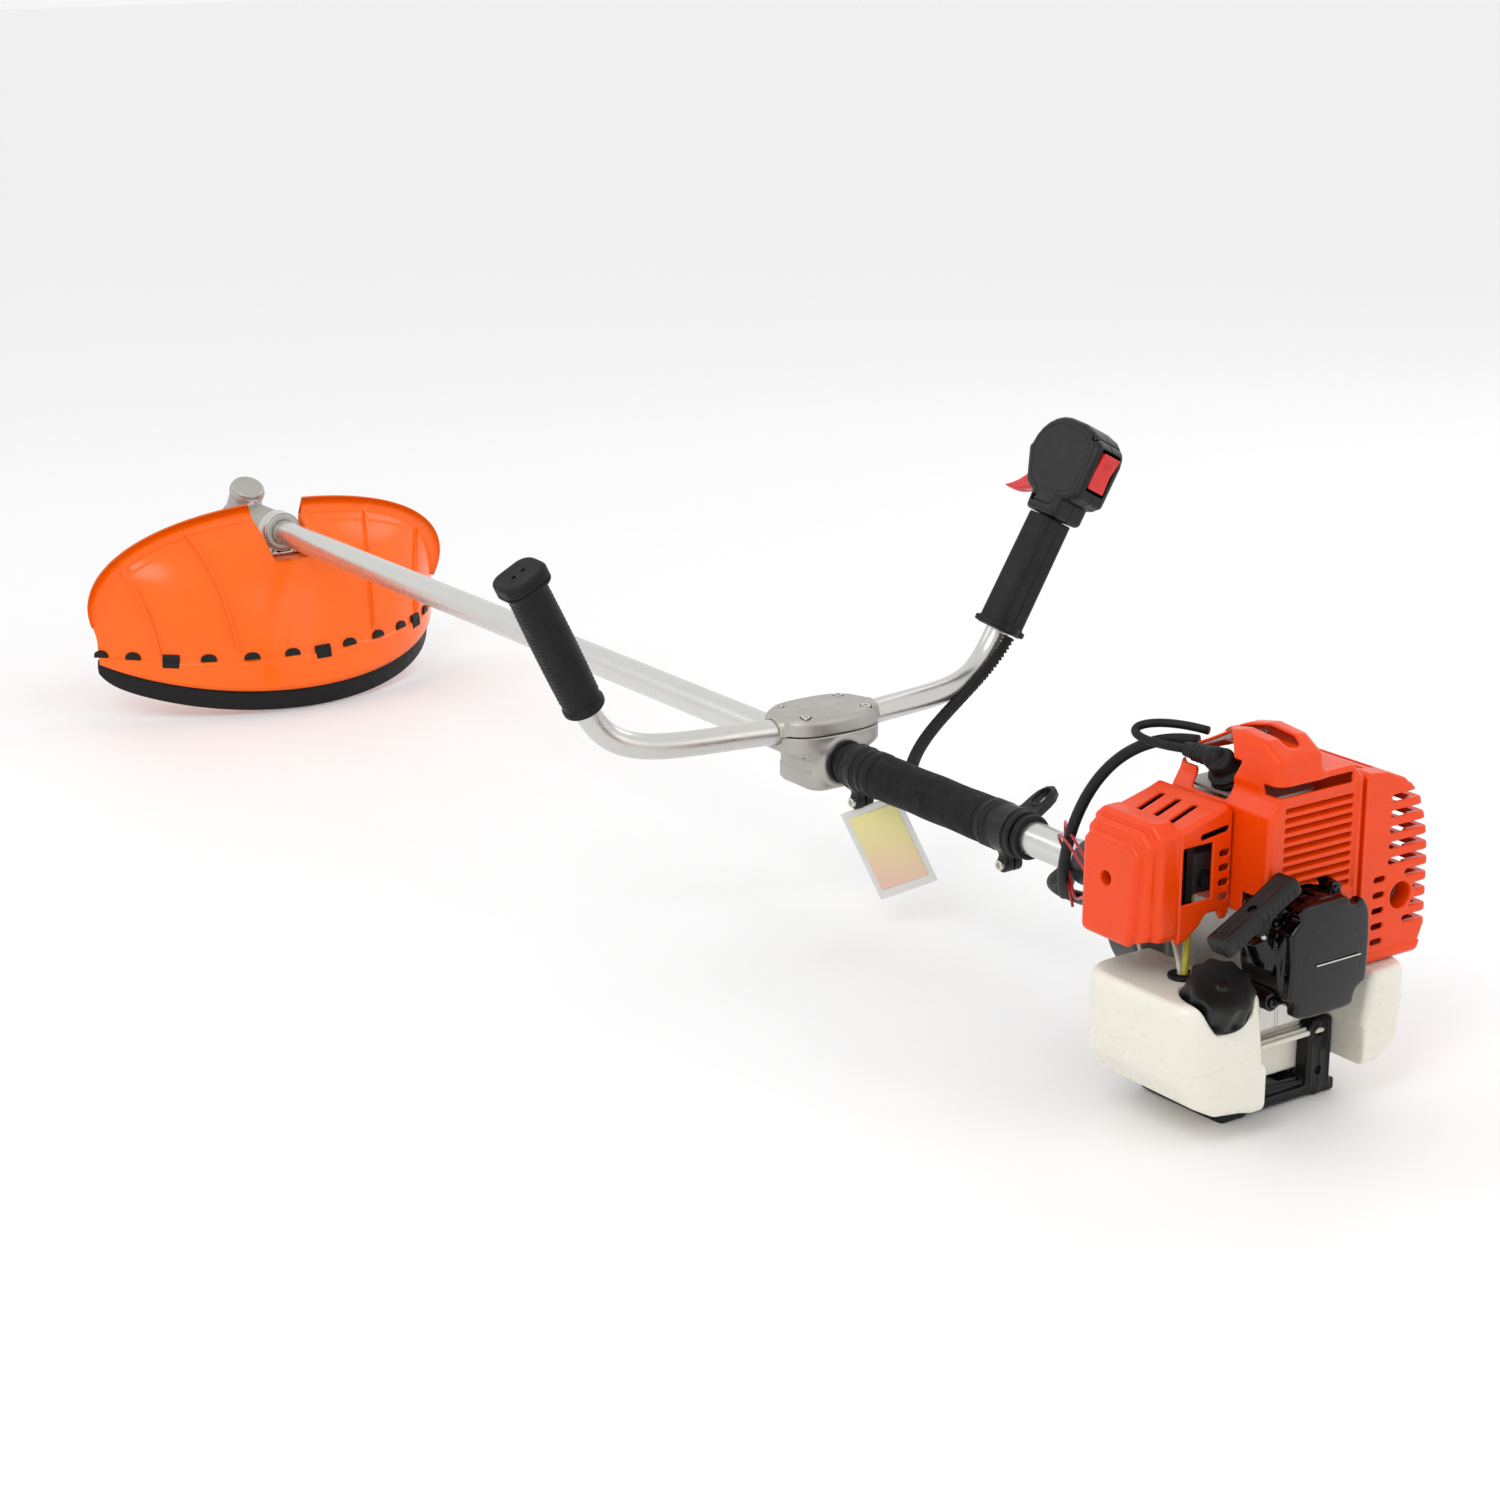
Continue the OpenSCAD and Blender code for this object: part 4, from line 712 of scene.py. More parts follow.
def top_cover(p):
    lo, hi = box_mm("top_cover")
    skin = cut(cover_body(p), cover_body(p, -WALL), 0.6)
    grille = box(p, (hi[0] - 7, -31, 168), (hi[0] - 1, 42, 246), 0.6)
    shape = join(skin, grille, 0.8)
    shape = cut(shape, box(p, (-60, -60, 130), (100, 60, 160), 0.5), 0.6)
    # a shallow frame round the louvres
    shape = cut(shape, box(p, (hi[0] - 0.9, -30, 169), (hi[0] + 4, 41, 246), 0.4), 0.5)
    q = in_row(p, 2, LOUVRE_PITCH, 174.5, LOUVRES)
    tilted = Place((hi[0] - 3, 5.5, 0), ("y", 24)).local(q)
    shape = cut(shape, box(tilted, (-16, -33.5, -1.9), (16, 33.5, 1.9), 0.8), 0.5)
    # the gap under the handle's back end
    shape = cut(shape, box(p, (hi[0] - 16, -37, 249.5), (hi[0] + 4, 36, 257.5), 0.8), 0.8)
    # the long recess in the handle, stepped down at the back
    shape = cut(shape, capsule(p * vec(1, 1, 0.6), vec(30, -14, 175.5), vec(70, -13, 174.5), 8), 2.2)
    floor = box(p, (16, -24, 277), (74, -4, 280.5), 1.2)
    shape = join(shape, meet(floor, cover_body(p, -0.6)), 1.0)
    post = rod(p, (40, -14, 276), (40, -14, 283.2), 4.6, 0.6)
    shape = join(shape, post, 1.0)
    # plug opening: a round mouth that leans to the left, with a chamfered rim
    mouth = rod(PLUG.local(p), (0, 0, 6), (0, 0, 90), 18.5, 0.1)
    below = box(p, (1.5, -70, 238), (38.5, -26, 262), 4)
    flare = rod(PLUG.local(p), (0, 0, 30), (0, 0, 46), 17.5, 0.5, 27)
    shape = cut(shape, join(join(mouth, below, 5), flare, 2), 1.6)
    shape = cut(shape, capsule(p, (-40, -36, 262), (10, -36, 262), 9.5), 1.0)
    # a stiffening rib down each back corner and the joint line to the silencer cover
    shape = join(shape, box(p, (hi[0] - 1.4, 42.5, 160), (hi[0] + 0.9, 45, 250), 0.5), 1.2)
    shape = cut(shape, box(p, (-30, 47.6, 150), (hi[0] - 6, 50, 240), 0.3), 0.5)
    # room for the recoil starter, its screw posts, the ports and the crankcase
    shape = cut(shape, rod(p, (60, STARTER[1], STARTER[2]), (95, STARTER[1], STARTER[2]), 45.5, 0.2), 0.8)
    for y, z in STARTER_SCREWS[1:]:
        shape = cut(shape, rod(p, (60, y, z), (95, y, z), 8.4, 0.2), 0.8)
    shape = cut(shape, box(p, (lo[0] - 3, -30, 150), (lo[0] + 5, 30, 256), 2), 0.8)
    shape = cut(shape, rod(p, (20, -55, 188), (20, -30, 188), 13.5, 0.3), 0.6)
    shape = cut(shape, rod(p, (20, 30, 190), (20, 60, 190), 15.5, 0.3), 0.6)
    return shape


def silencer_form(p, grow=0.0):
    points = [(50.4, 106), (50.4, 253), (74, 250), (93, 242), (107, 228), (115, 206), (119, 180), (120, 122),
              (113, 106)]
    lo, hi = box_mm("muffler_cover")
    return prism(p, 0, points, lo[0], hi[0], 4, 5) - grow


def muffler_cover(p):
    lo, hi = box_mm("muffler_cover")
    back = hi[0]
    skin = cut(silencer_form(p), silencer_form(p, -WALL), 0.6)
    # stepped ribs that stand proud of the right side, like a comb
    q = in_row(p, 2, COMB_PITCH, 127, 10)
    comb = box(q, (back - 52, 96, -3.1), (back, 123, 3.1), 1.6)
    comb = meet(comb, cut(silencer_form(p, 0.9), silencer_form(p, -6)), 0.8)
    shape = join(skin, comb, 0.8)
    q = in_row(p, 2, COMB_PITCH, 133, 9)
    upper = np.where(p[:, 2] > 172, 78.0, 96.0)
    q[:, 1] = np.where(q[:, 1] > 0, q[:, 1] - upper, q[:, 1])
    slots = box(q, (back - 46, 0, -2.75), (back + 20, 70, 2.75), 2.4)
    shape = cut(shape, slots, 0.7)
    q = in_row(p, 2, COMB_PITCH, 121, 5)
    shape = cut(shape, box(q, (back - 8, 64, -2.3), (back + 20, 76, 2.3), 2.0), 0.6)
    # ribs along the top slope
    q = in_row(p, 1, 11, 60, 5)
    top_slots = box(q, (8, -2.2, 225), (70, 2.2, 275), 2.0)
    shape = cut(shape, top_slots, 0.7)
    # outlet with its short guard tube
    tube = cut(rod(p, (back - 22, 92, 153), (back + 0.4, 92, 153), 14, 0.8),
               rod(p, (back - 40, 92, 153), (back + 9, 92, 153), 10.6, 0.3), 0.8)
    shape = cut(shape, rod(p, (back - 9, 92, 153), (back + 9, 92, 153), 10.6, 0.3), 0.8)
    shape = join(shape, tube, 1.2)
    # bottom lip and the fold along the joint to the top cover
    shape = join(shape, meet(silencer_form(p, 1.6), box(p, (lo[0], 52, 106), (back + 2, 125, 113), 1)), 1.5)
    shape = cut(shape, box(p, (lo[0] - 5, 40, 90), (back - 6, 62, 247), 2), 0.6)
    shape = join(shape, box(p, (back - 1.2, 50.4, 150), (back + 0.8, 52.6, 250), 0.5), 1.0)
    return shape


def cleaner_shell(p, grow=0.0):
    lo, hi = box_mm("air_cleaner_cover")
    side = [(-96, 140), (-96, 227), (-60, 236), (-50, 239.5), (-43.6, 234), (-43.6, 158), (-47, 153),
            (-53, 153), (-57, 160), (-66, 160), (-74, 151), (-84, 144)]
    return prism(p, 0, side, lo[0], hi[0], 4, 2.2) - grow


def cleaner_lid(p, grow=0.0):
    """Three steps that shrink towards the left side, each one a soft block."""
    left = box_mm("air_cleaner_cover")[0][1]
    near = [(-24, 144), (-23, 226), (-15, 233), (38, 233), (48, 224), (50, 150), (44, 142), (-18, 141)]
    middle = [(-22, 144), (-21, 219), (-14, 227), (36, 227), (45, 218), (44, 150), (38, 142), (-16, 142)]
    outer = [(-20, 143), (-20, 211), (-13, 219), (30, 219), (39, 211), (34, 148), (30, 141), (-14, 141)]
    steps = [(near, -112, -91, 5), (middle, -119, -100, 4.5), (outer, left + 0.2, -104, 4.5)]
    parts = [prism(p, 1, points, y0, y1, r, 5) for points, y0, y1, r in steps]
    return all_of(parts, 1.2) - grow


def air_cleaner_cover(p):
    hollow = join(cleaner_lid(p, -WALL), cleaner_shell(p, -WALL), 0.5)
    hollow = join(hollow, box(p, (-21.5, -118, 120), (47.5, -30, 147), 1), 0.5)
    hollow = join(hollow, box(p, (-20.5, -60, 120), (47.5, -30, 232), 1), 0.5)
    shape = cut(join(cleaner_lid(p), cleaner_shell(p), 0.6), hollow, 0.6)
    lo, hi = box_mm("air_cleaner_cover")
    back = hi[0]
    # joint line between lid and body
    seam = np.abs(p[:, 1] + 93.5) - 0.45
    shape = cut(shape, meet(seam, -cleaner_shell(p, -0.9)), 0.5)
    # screw well in the middle of the lid
    shape = join(shape, rod(p, (6, lo[1] + 1, 187), (6, -108, 187), 8, 0.5), 1.0)
    shape = cut(shape, rod(p, (6, -140, 187), (6, -111, 187), 5.4, 0.3), 1.0)
    shape = cut(shape, box(p, (back - 9, -91, 172), (back + 9, -63, 214), 0.8), 0.7)
    slant = Place((back, -62, 220.5), ("x", 7)).local(p)
    shape = cut(shape, box(slant, (-9, -13, -2.3), (9, 14, 2.3), 2.1), 0.7)
    q = in_row(p, 2, 11, 171, 4)
    shape = cut(shape, box(q, (back - 9, -56.5, -2.5), (back + 9, -46.5, 2.5), 2.3), 0.7)
    q = p.copy()
    q[:, 0] = repeat(p[:, 0] + 0.12 * p[:, 1], 17, -13, 3)
    shape = cut(shape, box(q, (-2.6, -90, 218), (2.6, -60, 250), 2.3), 0.7)
    # lobes of the lower edge, and room for the cooling fan's case
    shape = cut(shape, rod(p, (back - 30, -100, 134), (back + 9, -100, 134), 10, 0.3), 2.5)
    shape = cut(shape, rod(p, (-30, 0, 130), (-17, 0, 130), 67.5, 0.3), 0.8)
    return shape


def intake_lining(p):
    """Black front and floor panels behind the air cleaner's window."""
    front = box(p, (-20.3, -106, 150), (-18.6, -46, 229), 0.5)
    floor = box(p, (-19, -106, 149), (30, -84, 151), 0.5)
    side = box(p, (-19, -47.6, 206), (44, -46, 229), 0.5)
    return join(join(front, floor, 0.5), side, 0.5)


def build_covers():
    lo, hi = box_mm("top_cover")
    mould("top_cover_moulding", top_cover, lo - vec(0, 0, 1), hi + vec(1, 0, 1), 1.0, "orange", "machine",
          "top_cover")
    lo, hi = box_mm("muffler_cover")
    mould("silencer_cover_moulding", muffler_cover, lo, hi + vec(2, 4, 2), 1.05, "orange", "machine",
          "muffler_cover")
    lo, hi = box_mm("air_cleaner_cover")
    mould("air_cleaner_moulding", air_cleaner_cover, lo, hi, 0.95, "orange", "machine", "air_cleaner_cover")
    mould("intake_lining", intake_lining, (-22, -108, 147), (46, -44, 231), 0.9, "black", "machine")


# ---- starter ------------------------------------------------------------------------------

FACE_BULGE = 305


def starter_face(p):
    """The square front with its four scooped corners."""
    back = box_mm("starter_housing")[1][0]
    q = p - vec(0, STARTER[1], STARTER[2])
    plate = prism(q, 0, round_rect(77, 85, 19, 5), back - 14, back, 3, 0)
    shape = meet(plate, ball(q, (back - FACE_BULGE, 0, 0), FACE_BULGE), 3)
    for y, z, r in ((-41, 34, 8.5), (24, 42, 7), (36, -36, 9), (-38, -34, 8)):
        shape = cut(shape, rod(q, (back - 20, y, z), (back + 9, y, z), r, 0.3), 3)
    return shape


def starter_housing(p):
    lo, hi = box_mm("starter_housing")
    back = hi[0]
    c = STARTER
    drum = rod(p, (lo[0], c[1], c[2]), (back - 10, c[1], c[2]), 44, 2.5)
    posts = [rod(p, (lo[0], y, z), (back - 22, y, z), 7, 1) for y, z in STARTER_SCREWS]
    posts.append(rod(p, (lo[0], 32, 100), (back - 22, 32, 100), 6.5, 1))
    shape = join(join(drum, all_of(posts), 5), starter_face(p), 2.5)
    chute = rod(p, (90, -57.7, 155.7), (90, -47, 136), 10, 1.5)
    shape = join(shape, join(chute, box(p, (77, -54, 130), (99, -38, 150), 3), 4), 4)
    inner = rod(p, (lo[0] - 6, c[1], c[2]), (back - 5, c[1], c[2]), 38, 1)
    shape = cut(shape, inner, 0.6)
    for y, z in STARTER_SCREWS:
        shape = cut(shape, rod(p, (back - 22, y, z), (back + 4, y, z), 4.6, 0.2), 0.8)
        shape = cut(shape, rod(p, (lo[0] - 3, y, z), (back + 4, y, z), 2.1, 0.2), 0.3)
    # air slots round the drum
    q = around(p - vec(0, c[1], c[2]), 26, 0)
    vent = box(q, (lo[0] + 6, 36, -1.7), (back - 17, 50, 1.7), 1.4)
    shape = cut(shape, meet(vent, 139 - p[:, 2]), 0.6)
    # round shallow step on the face; the bright strip across the face, made in build_starter, is a painted
    # highlight
    ring = hoop(p, (back - 0.2, c[1], c[2] - 3), (1, 0, 0), 29, 1.3)
    shape = cut(shape, ring, 0.6)
    return cut(shape, rod(p, (90, -61.9, 163.6), (90, -47, 136), 3.2, 0.2), 0.8)


def starter_handle(p):
    """Grip bar across the rope with a tapered stem. Points are in the pull's own frame."""
    q = p - vec(0, 0, 16)
    bar = prism(q, 1, round_rect(22, 15, 4.5), -38, 38, 3, 0)
    waist = 1.4 * np.cos(np.clip(q[:, 1] / 38, -1, 1) * math.pi / 2)
    bar = bar + waist * 0.5
    stem = rod(p, (0, 0, 1), (0, 0, 13), 7, 1.0, 12.5)
    shape = join(bar, stem, 3)
    panel = box(q, (9.6, -31, -4.2), (14, 31, 4.2), 1.2)
    shape = cut(shape, panel, 0.6)
    r = in_row(q, 1, 5.2, -26, 11)
    ribs = box(r, (8.6, -1.1, -3.9), (10.6, 1.1, 3.9), 0.5)
    shape = join(shape, ribs, 0.5)
    top = box(q, (-6, -30, 6.6), (6, 30, 10), 1.4)
    shape = cut(shape, top, 0.8)
    return cut(shape, rod(q, (0, 0, 2), (0, 0, 12), 3.4, 0.4), 0.6)


def build_starter():
    lo, hi = box_mm("starter_housing")
    mould("starter_case", starter_housing, lo - 1, hi + 1, 0.95, "glossblack", "machine", "starter_housing")
    back = hi[0]
    # a thin bright strip across the gloss black face: a painted highlight, made as a raised line
    path = [(back + 0.05, y, 132) for y in np.linspace(-21, 23, 23)]
    line = make_strip("starter_painted_highlight", path, 0.5, 0.25)
    finish_piece(line, "bright", "machine")
    mould("pull_grip", starter_handle, (-13, -40, 0), (13, 40, 26), 0.7, "black", "pull_handle",
          "starter_handle", place=PULL)
    rope_points = [PULL.world((0, 0, z)) for z in np.linspace(-14, 9, 24)]
    rope = sweep("starter_rope", rope_points, 1.7 + 0.15 * np.sin(np.arange(24) * 2.4), 12)
    rope.data.materials.append(looks["vent"])
    PULL.world((0, 0, -14)) * MM
    PULL.world((0, 0, 4)) * MM
    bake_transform(rope)


def make_strip(name, path, half_width, height):
    """A thin raised line along a path on a face that looks along X."""
    loops = []
    for x, y, z in path:
        loops.append([(x - height, y, z - half_width), (x - height, y, z + half_width),
                      (x + height, y, z + half_width), (x + height, y, z - half_width)])
    return loft(name, loops)


# ---- fuel tank ----------------------------------------------------------------------------

def tank_form(p, grow=0.0):
    lo, hi = box_mm("fuel_tank")
    centre = (lo[0] + hi[0]) / 2
    side = [(-130, 116), (-130, 80), (-126, 58), (-113, 38), (-94, 28), (-70, 25), (-58, 22), (44, 22),
            (50, 32), (66, 33), (82, 40), (94, 55), (100, 76), (100, 104.5), (54, 104.5), (48, 60),
            (-50, 60), (-57, 116)]
    body = prism(p, 0, side, lo[0], 101, 8, 9)
    plan = [(x + centre, y - 15) for x, y in round_rect(101 - lo[0], 230, 30, 8)]
    return meet(body, prism(p, 2, plan, 10, 130, 2, 0), 9) - grow


def fuel_tank(p):
    q = NECK.local(p)
    form = tank_form(p)
    hollow = cut(tank_form(p, -3), rod(q, (0, 0, -12), (0, 0, 60), 28.5, 0.2))
    hollow = cut(hollow, box(p, (50.5, -51.5, 0), (120, 53.5, 68), 1))
    shape = join(form, rod(q, (0, 0, -16), (0, 0, 6), 19, 0.8), 3)
    shape = cut(shape, hollow)
    shape = cut(shape, rod(q, (0, 0, -26), (0, 0, 40), 15.5, 0.4), 0.5)
    moat = cut(rod(q, (0, 0, -8.5), (0, 0, 45), 26.2, 1), rod(q, (0, 0, -20), (0, 0, 6), 19, 0.8))
    shape = cut(shape, moat, 2.0)
    shape = cut(shape, box(p, (54, -48, 5), (120, 50, 62.5), 2), 2.5)
    # moulded seam round the tank and the dished panel on the left face
    seam = np.abs(p[:, 2] - 73 - 0.06 * p[:, 1]) - 0.5
    shape = join(shape, meet(meet(seam, tank_form(p, 0.7)), -tank_form(p, -1.2)), 0.8)
    return cut(shape, rod(p, (46, -84, 90), (46, -84, 130), 6.1, 0.2), 0.6)


def tank_strap(p):
    bar = box(p, (55.5, -58, 49), (63, 60, 57), 1.6)
    lips = box(p, (63, -58, 51), (66, 60, 55), 0.8)
    return cut(join(bar, lips, 1.2), box(p, (57, -90, 51), (61, 90, 70), 0.6), 0.6)


def fuel_cap(p):
    """Screw cap with a scalloped rim and a faint dome. Points are in the neck's own frame."""
    body = rod(p, (0, 0, -8), (0, 0, 16.2), 25, 2.6)
    q = around(p, 10)
    scoops = rod(q, (31.2, 0, -12), (31.2, 0, 30), 8.6, 0.3)
    body = cut(body, scoops, 2.0)
    dish = ball(p, (0, 0, 92), 77.2)
    body = cut(body, meet(dish, rod(p, (0, 0, 0), (0, 0, 40), 17.5, 0.5), 1), 1.5)
    hub = rod(p, (0, 0, 6), (0, 0, 16.4), 3.4, 0.8)
    body = join(body, hub, 1.5)
    body = join(body, hoop(p, (0, 0, -6.6), (0, 0, 1), 24.2, 1.3), 0.8)
    return cut(body, rod(p, (0, 0, -20), (0, 0, 11), 19.35, 0.5), 0.6)


def build_tank():
    lo = box_mm("fuel_tank")[0]
    mould("tank_moulding", fuel_tank, (lo[0] - 1, -132, 20), (103, 102, 124), 1.3, "tank", "machine",
          "fuel_tank")
    mould("tank_cross_strap", tank_strap, (54, -60, 47), (68, 62, 60), 0.8, "tank", "machine")
    mould("filler_cap", fuel_cap, (-26, -26, -9), (26, 26, 18), 0.75, "black", "cap", "fuel_cap", place=NECK)


def fuel_hoses():
    foot = vec(46, -84, box_mm("fuel_lines")[0][2])
    feed = bezier(foot + vec(2.6, 0, 0), (48, -84, 136), (34, -68, 138), (34, -68, 171.5), 30)
    vent = bezier(foot + vec(-2, 0, 0), (46, -84, 136), (10, -68, 136), (10, -68, 171.5), 30)
    finish_piece(sweep("fuel_feed_hose", feed, 2.6, 16), "line", "machine", "fuel_lines")
    finish_piece(sweep("fuel_vent_hose", vent, 1.8, 14), "vent", "machine")

    def grommet(p):
        disc = rod(p, (46, -84, 115.6), (46, -84, 119), 10.5, 1.4)
        lip = join(disc, hoop(p, (46, -84, 118.6), (0, 0, 1), 6.2, 1.2), 1.2)
        body = join(lip, rod(p, (46, -84, 112.4), (46, -84, 117), 6.0, 0.5), 0.6)
        return cut(body, rod(p, (46, -84, 100), (46, -84, 130), 5.0, 0.3), 0.5)

    mould("tank_grommet", grommet, (34, -96, 112), (58, -72, 121), 0.5, "rubber", "machine")


# ---- engine block and stand ---------------------------------------------------------------

CYL_X = 20


def fan_case(p):
    z = TUBE_Z
    shape = tube_rod(p, -152, -88, 19, 2)
    shape = join(shape, tube_rod(p, -116, -92, 20, 1, 45), 4)
    shape = join(shape, tube_rod(p, -94, -60, 46, 4), 3)
    shape = join(shape, tube_rod(p, -60, -24, 66, 5), 6)
    q = around(p - vec(0, 0, z), 12, 0)
    ribs = box(q, (-104, 15, -1.5), (-64, 50, 1.5), 1.2)
    ribs = meet(ribs, tube_rod(p, -122, -60, 19, 1, 56), 1)
    shape = join(shape, ribs, 2)
    shape = join(shape, box(q, (-63, 44, -1.5), (-57, 63, 1.5), 1.2), 1.5)
    ears = box(p, (-144, -8, z - 33), (-112, 8, z), 4)
    shape = join(shape, ears, 4)
    shape = cut(shape, tube_rod(p, -160, TUBE_REAR, TUBE_R + 0.1, 0.1), 0.4)
    shape = cut(shape, box(p, (-160, -1, z - 40), (-106, 1, z), 0.2), 0.3)
    shape = cut(shape, rod(p, (-128, -12, z - 26), (-128, 12, z - 26), 2.7, 0.1), 0.4)
    shape = cut(shape, tube_rod(p, -91, -78, 17.5, 0.3), 0.4)
    shape = cut(shape, tube_rod(p, -79.5, -57, 41, 1), 0.6)
    return cut(shape, tube_rod(p, -58, -10, 62, 1.5), 0.8)


def crankcase(p):
    z = TUBE_Z
    plate = tube_rod(p, -24, -20, 66, 1)
    block = prism(p, 0, [(-38, 96), (-30, 88), (30, 88), (38, 96), (38, 168), (-38, 168)], -22, 58, 2, 3)
    foot = prism(p, 0, [(-44, 64), (44, 64), (34, 92), (-34, 92)], 10, 62, 2, 2)
    shape = join(join(plate, block, 3), join(foot, tube_rod(p, 50, 66, 36, 1.5), 4), 5)
    q = in_row(p, 1, 14, -28, 5)
    shape = join(shape, box(q, (8, -1.3, 66), (66, 1.3, 96), 1), 2)
    q = around(p - vec(0, 0, z), 8, 0)
    shape = join(shape, box(q, (-22, 36, -1.5), (-10, 62, 1.5), 1), 2)
    for x0, x1, r in ((-30, 74, 8.5), (-16, -4, 16), (2, 38, 29), (42, 54, 16), (54, 74, 26)):
        shape = cut(shape, tube_rod(p, x0, x1, r, 0.2), 0.4)
    shape = cut(shape, rod(p, (CYL_X, 0, z), (CYL_X, 0, 175), 22.5, 0.2), 0.4)
    hollow = prism(p, 0, [(-34, 55), (34, 55), (26, 82), (-26, 82)], 8, 68, 1.5, 2)
    shape = cut(shape, cut(hollow, box(p, (8, -3, 50), (68, 3, 90), 1)), 1.0)
    q = Place((0, 0, z), ("x", -45)).local(mirror_y(p))
    return cut(shape, box(q, (-30, -16, 48), (-18, 16, 58), 2), 0.8)


def starter_plate(p):
    """The pale cast plate that shows under the starter."""
    plate = prism(p, 0, [(-36, 66), (36, 66), (44, 84), (40, 98), (-42, 98), (-46, 84)], 61.5, 66, 1.2, 5)
    q = in_row(p, 1, 18, -27, 4)
    plate = join(plate, box(q, (64, -1.2, 68), (67.4, 1.2, 90), 0.8), 1.2)
    return cut(plate, rod(p, (50, STARTER[1], STARTER[2]), (80, STARTER[1], STARTER[2]), 44.6, 0.2), 0.4)


def stand(p):
    """Black stand: two runners, cross pieces and the back uprights with their ribs."""
    q = mirror_y(p)
    runner = prism(q, 1, [(-26, 3), (-20, 0), (60, 0), (66, 3), (66, 12), (-26, 12)], 34, 56, 2, 1.5)
    cross = join(box(p, (-14, -40, 0.5), (14, 40, 8), 1.5), box(p, (50, -40, 4), (66, 40, 12), 1.5))
    upright = prism(p, 0, [(-46, 8), (-30, 8), (-30, 50), (-33, 62), (-46, 62)], 54, 66, 1.5, 2)
    other = prism(p, 0, [(26, 8), (50, 8), (50, 62), (30, 62), (26, 54)], 54, 66, 1.5, 2)
    shape = join(join(runner, cross, 3), join(upright, other), 2)
    web = prism(p, 0, [(-34, 8), (34, 8), (26, 16), (-30, 20)], 56, 62, 1.2, 2)
    shape = join(shape, web, 2)
    r = in_row(q, 0, 14, -16, 6)
    shape = join(shape, box(r, (-1.2, 36, 10), (1.2, 54, 15), 0.8), 1.2)
    s = in_row(p, 1, 9, -42, 11)
    ribs = meet(box(s, (64, -1.1, 9), (67.2, 1.1, 60), 0.8), join(upright, other) - 1.6)
    shape = join(shape, ribs, 0.8)
    shape = join(shape, box(p, (-26, -40, 8), (-25, 40, 60), 0.4), 1)
    for y, z in ((-38, 52), (38, 52), (38, 22), (-38, 22)):
        shape = cut(shape, rod(p, (63, y, z), (70, y, z), 3.2, 0.2), 0.5)
    return cut(shape, rod(q, (50, 45, -2), (50, 45, 8), 3, 0.2), 0.5)


def boot(p):
    """Rubber plug cap: a ribbed bell over the plug and an elbow to the lead."""
    q = PLUG.local(p)
    bell = rod(q, (0, 0, 14), (0, 0, 29), 14.5, 1.5, 13)
    bell = join(bell, rod(q, (0, 0, 26), (0, 0, 40), 10.5, 3), 2.5)
    for z in (17.5, 22.0, 26.5):
        bell = join(bell, hoop(q, (0, 0, z), (0, 0, 1), 13.6, 1.1), 0.8)
    elbow = rod(p, (14, -32, 262), (-13, -34, 262), 7.5, 1.2, 5.4)
    bell = join(bell, elbow, 4)
    for x in (-3.0, 1.5, 6.0):
        bell = join(bell, hoop(p, (x, -33, 262), (-0.998, -0.06, 0), 6.2, 1.0), 0.8)
    shape = join(bell, ball(p, (15, -31.5, 262), 8.2), 2)
    return cut(shape, rod(q, (0, 0, 0), (0, 0, 33), 5.1, 0.3), 0.4)


LEAD_START, LEAD_END = (-12, -34, 262), (-17, -8, 270)


def build_engine():
    mould("fan_case_casting", fan_case, (-152, -67, 62), (-24, 67, 198), 1.15, "darkcast", "machine",
          "fan_case")
    mould("crankcase_casting", crankcase, (-24, -66, 62), (68, 66, 198), 1.1, "cast", "machine", "crankcase")
    mould("starter_back_plate", starter_plate, (61, -47, 65), (68, 45, 100), 0.8, "bar", "machine",
          slot="cast")
    mould("stand_moulding", stand, (-27, -57, -0.5), (68, 57, 63), 0.9, "black", "machine", "stand")
    lead = bezier(LEAD_START, (-84, -52, 256), (-74, -30, 276), LEAD_END, 40)
    cap = net_of(boot, (-16, -48, 228), (36, -2, 278), 0.75)
    cable = skin(rings_along(lead, 3.2, 16))
    finish_piece(gather("plug_cap_and_lead", [cap, cable]), "rubber", "machine", "plug_boot", slot="black")


def wire_loops():
    """The two thin red wires by the engine's front, and the hook under the tube."""
    first = curve_through([(-98, -50, 156), (-126, -44, 172), (-152, -24, 166), (-160, -16, 148),
                           (-150, -20, 126), (-120, -40, 118), (-96, -52, 128)], 12)
    second = curve_through([(-92, -54, 148), (-120, -50, 164), (-148, -34, 158), (-154, -22, 140),
                            (-144, -26, 120), (-118, -44, 112)], 12)
    wires = [skin(rings_along(path, 1.2, 10)) for path in (first, second)]
    finish_piece(gather("red_wires", wires), "wire", "machine")
    hook = curve_through([(-152, -17, 130), (-160, -19, 121), (-172, -17, 110), (-174, -8, 101),
                          (-164, 0, 97), (-148, -2, 100), (-138, -6, 106)], 10)
    radii = 5.2 + 0.5 * np.sin(np.linspace(0, 9, len(hook)))
    finish_piece(sweep("cable_hook", hook, radii, 18), "black", "machine")


# ---- drive tube, clamp and handlebar ------------------------------------------------------

BACKWARDS = Place((0, 0, TUBE_Z), ("y", 90))


def tube_ring(x0, x1, outer, edge=1.0, grooves=()):
    """A ring on the drive tube, with shallow grooves at the given places."""
    profile = ring_profile(x0, x1, outer, BORE_R, edge)
    middle = []
    for x in grooves:
        middle += [(x - 0.7, outer), (x - 0.4, outer - 0.7), (x + 0.4, outer - 0.7), (x + 0.7, outer)]
    return turned(profile[:4] + middle + profile[4:], BACKWARDS, 80)


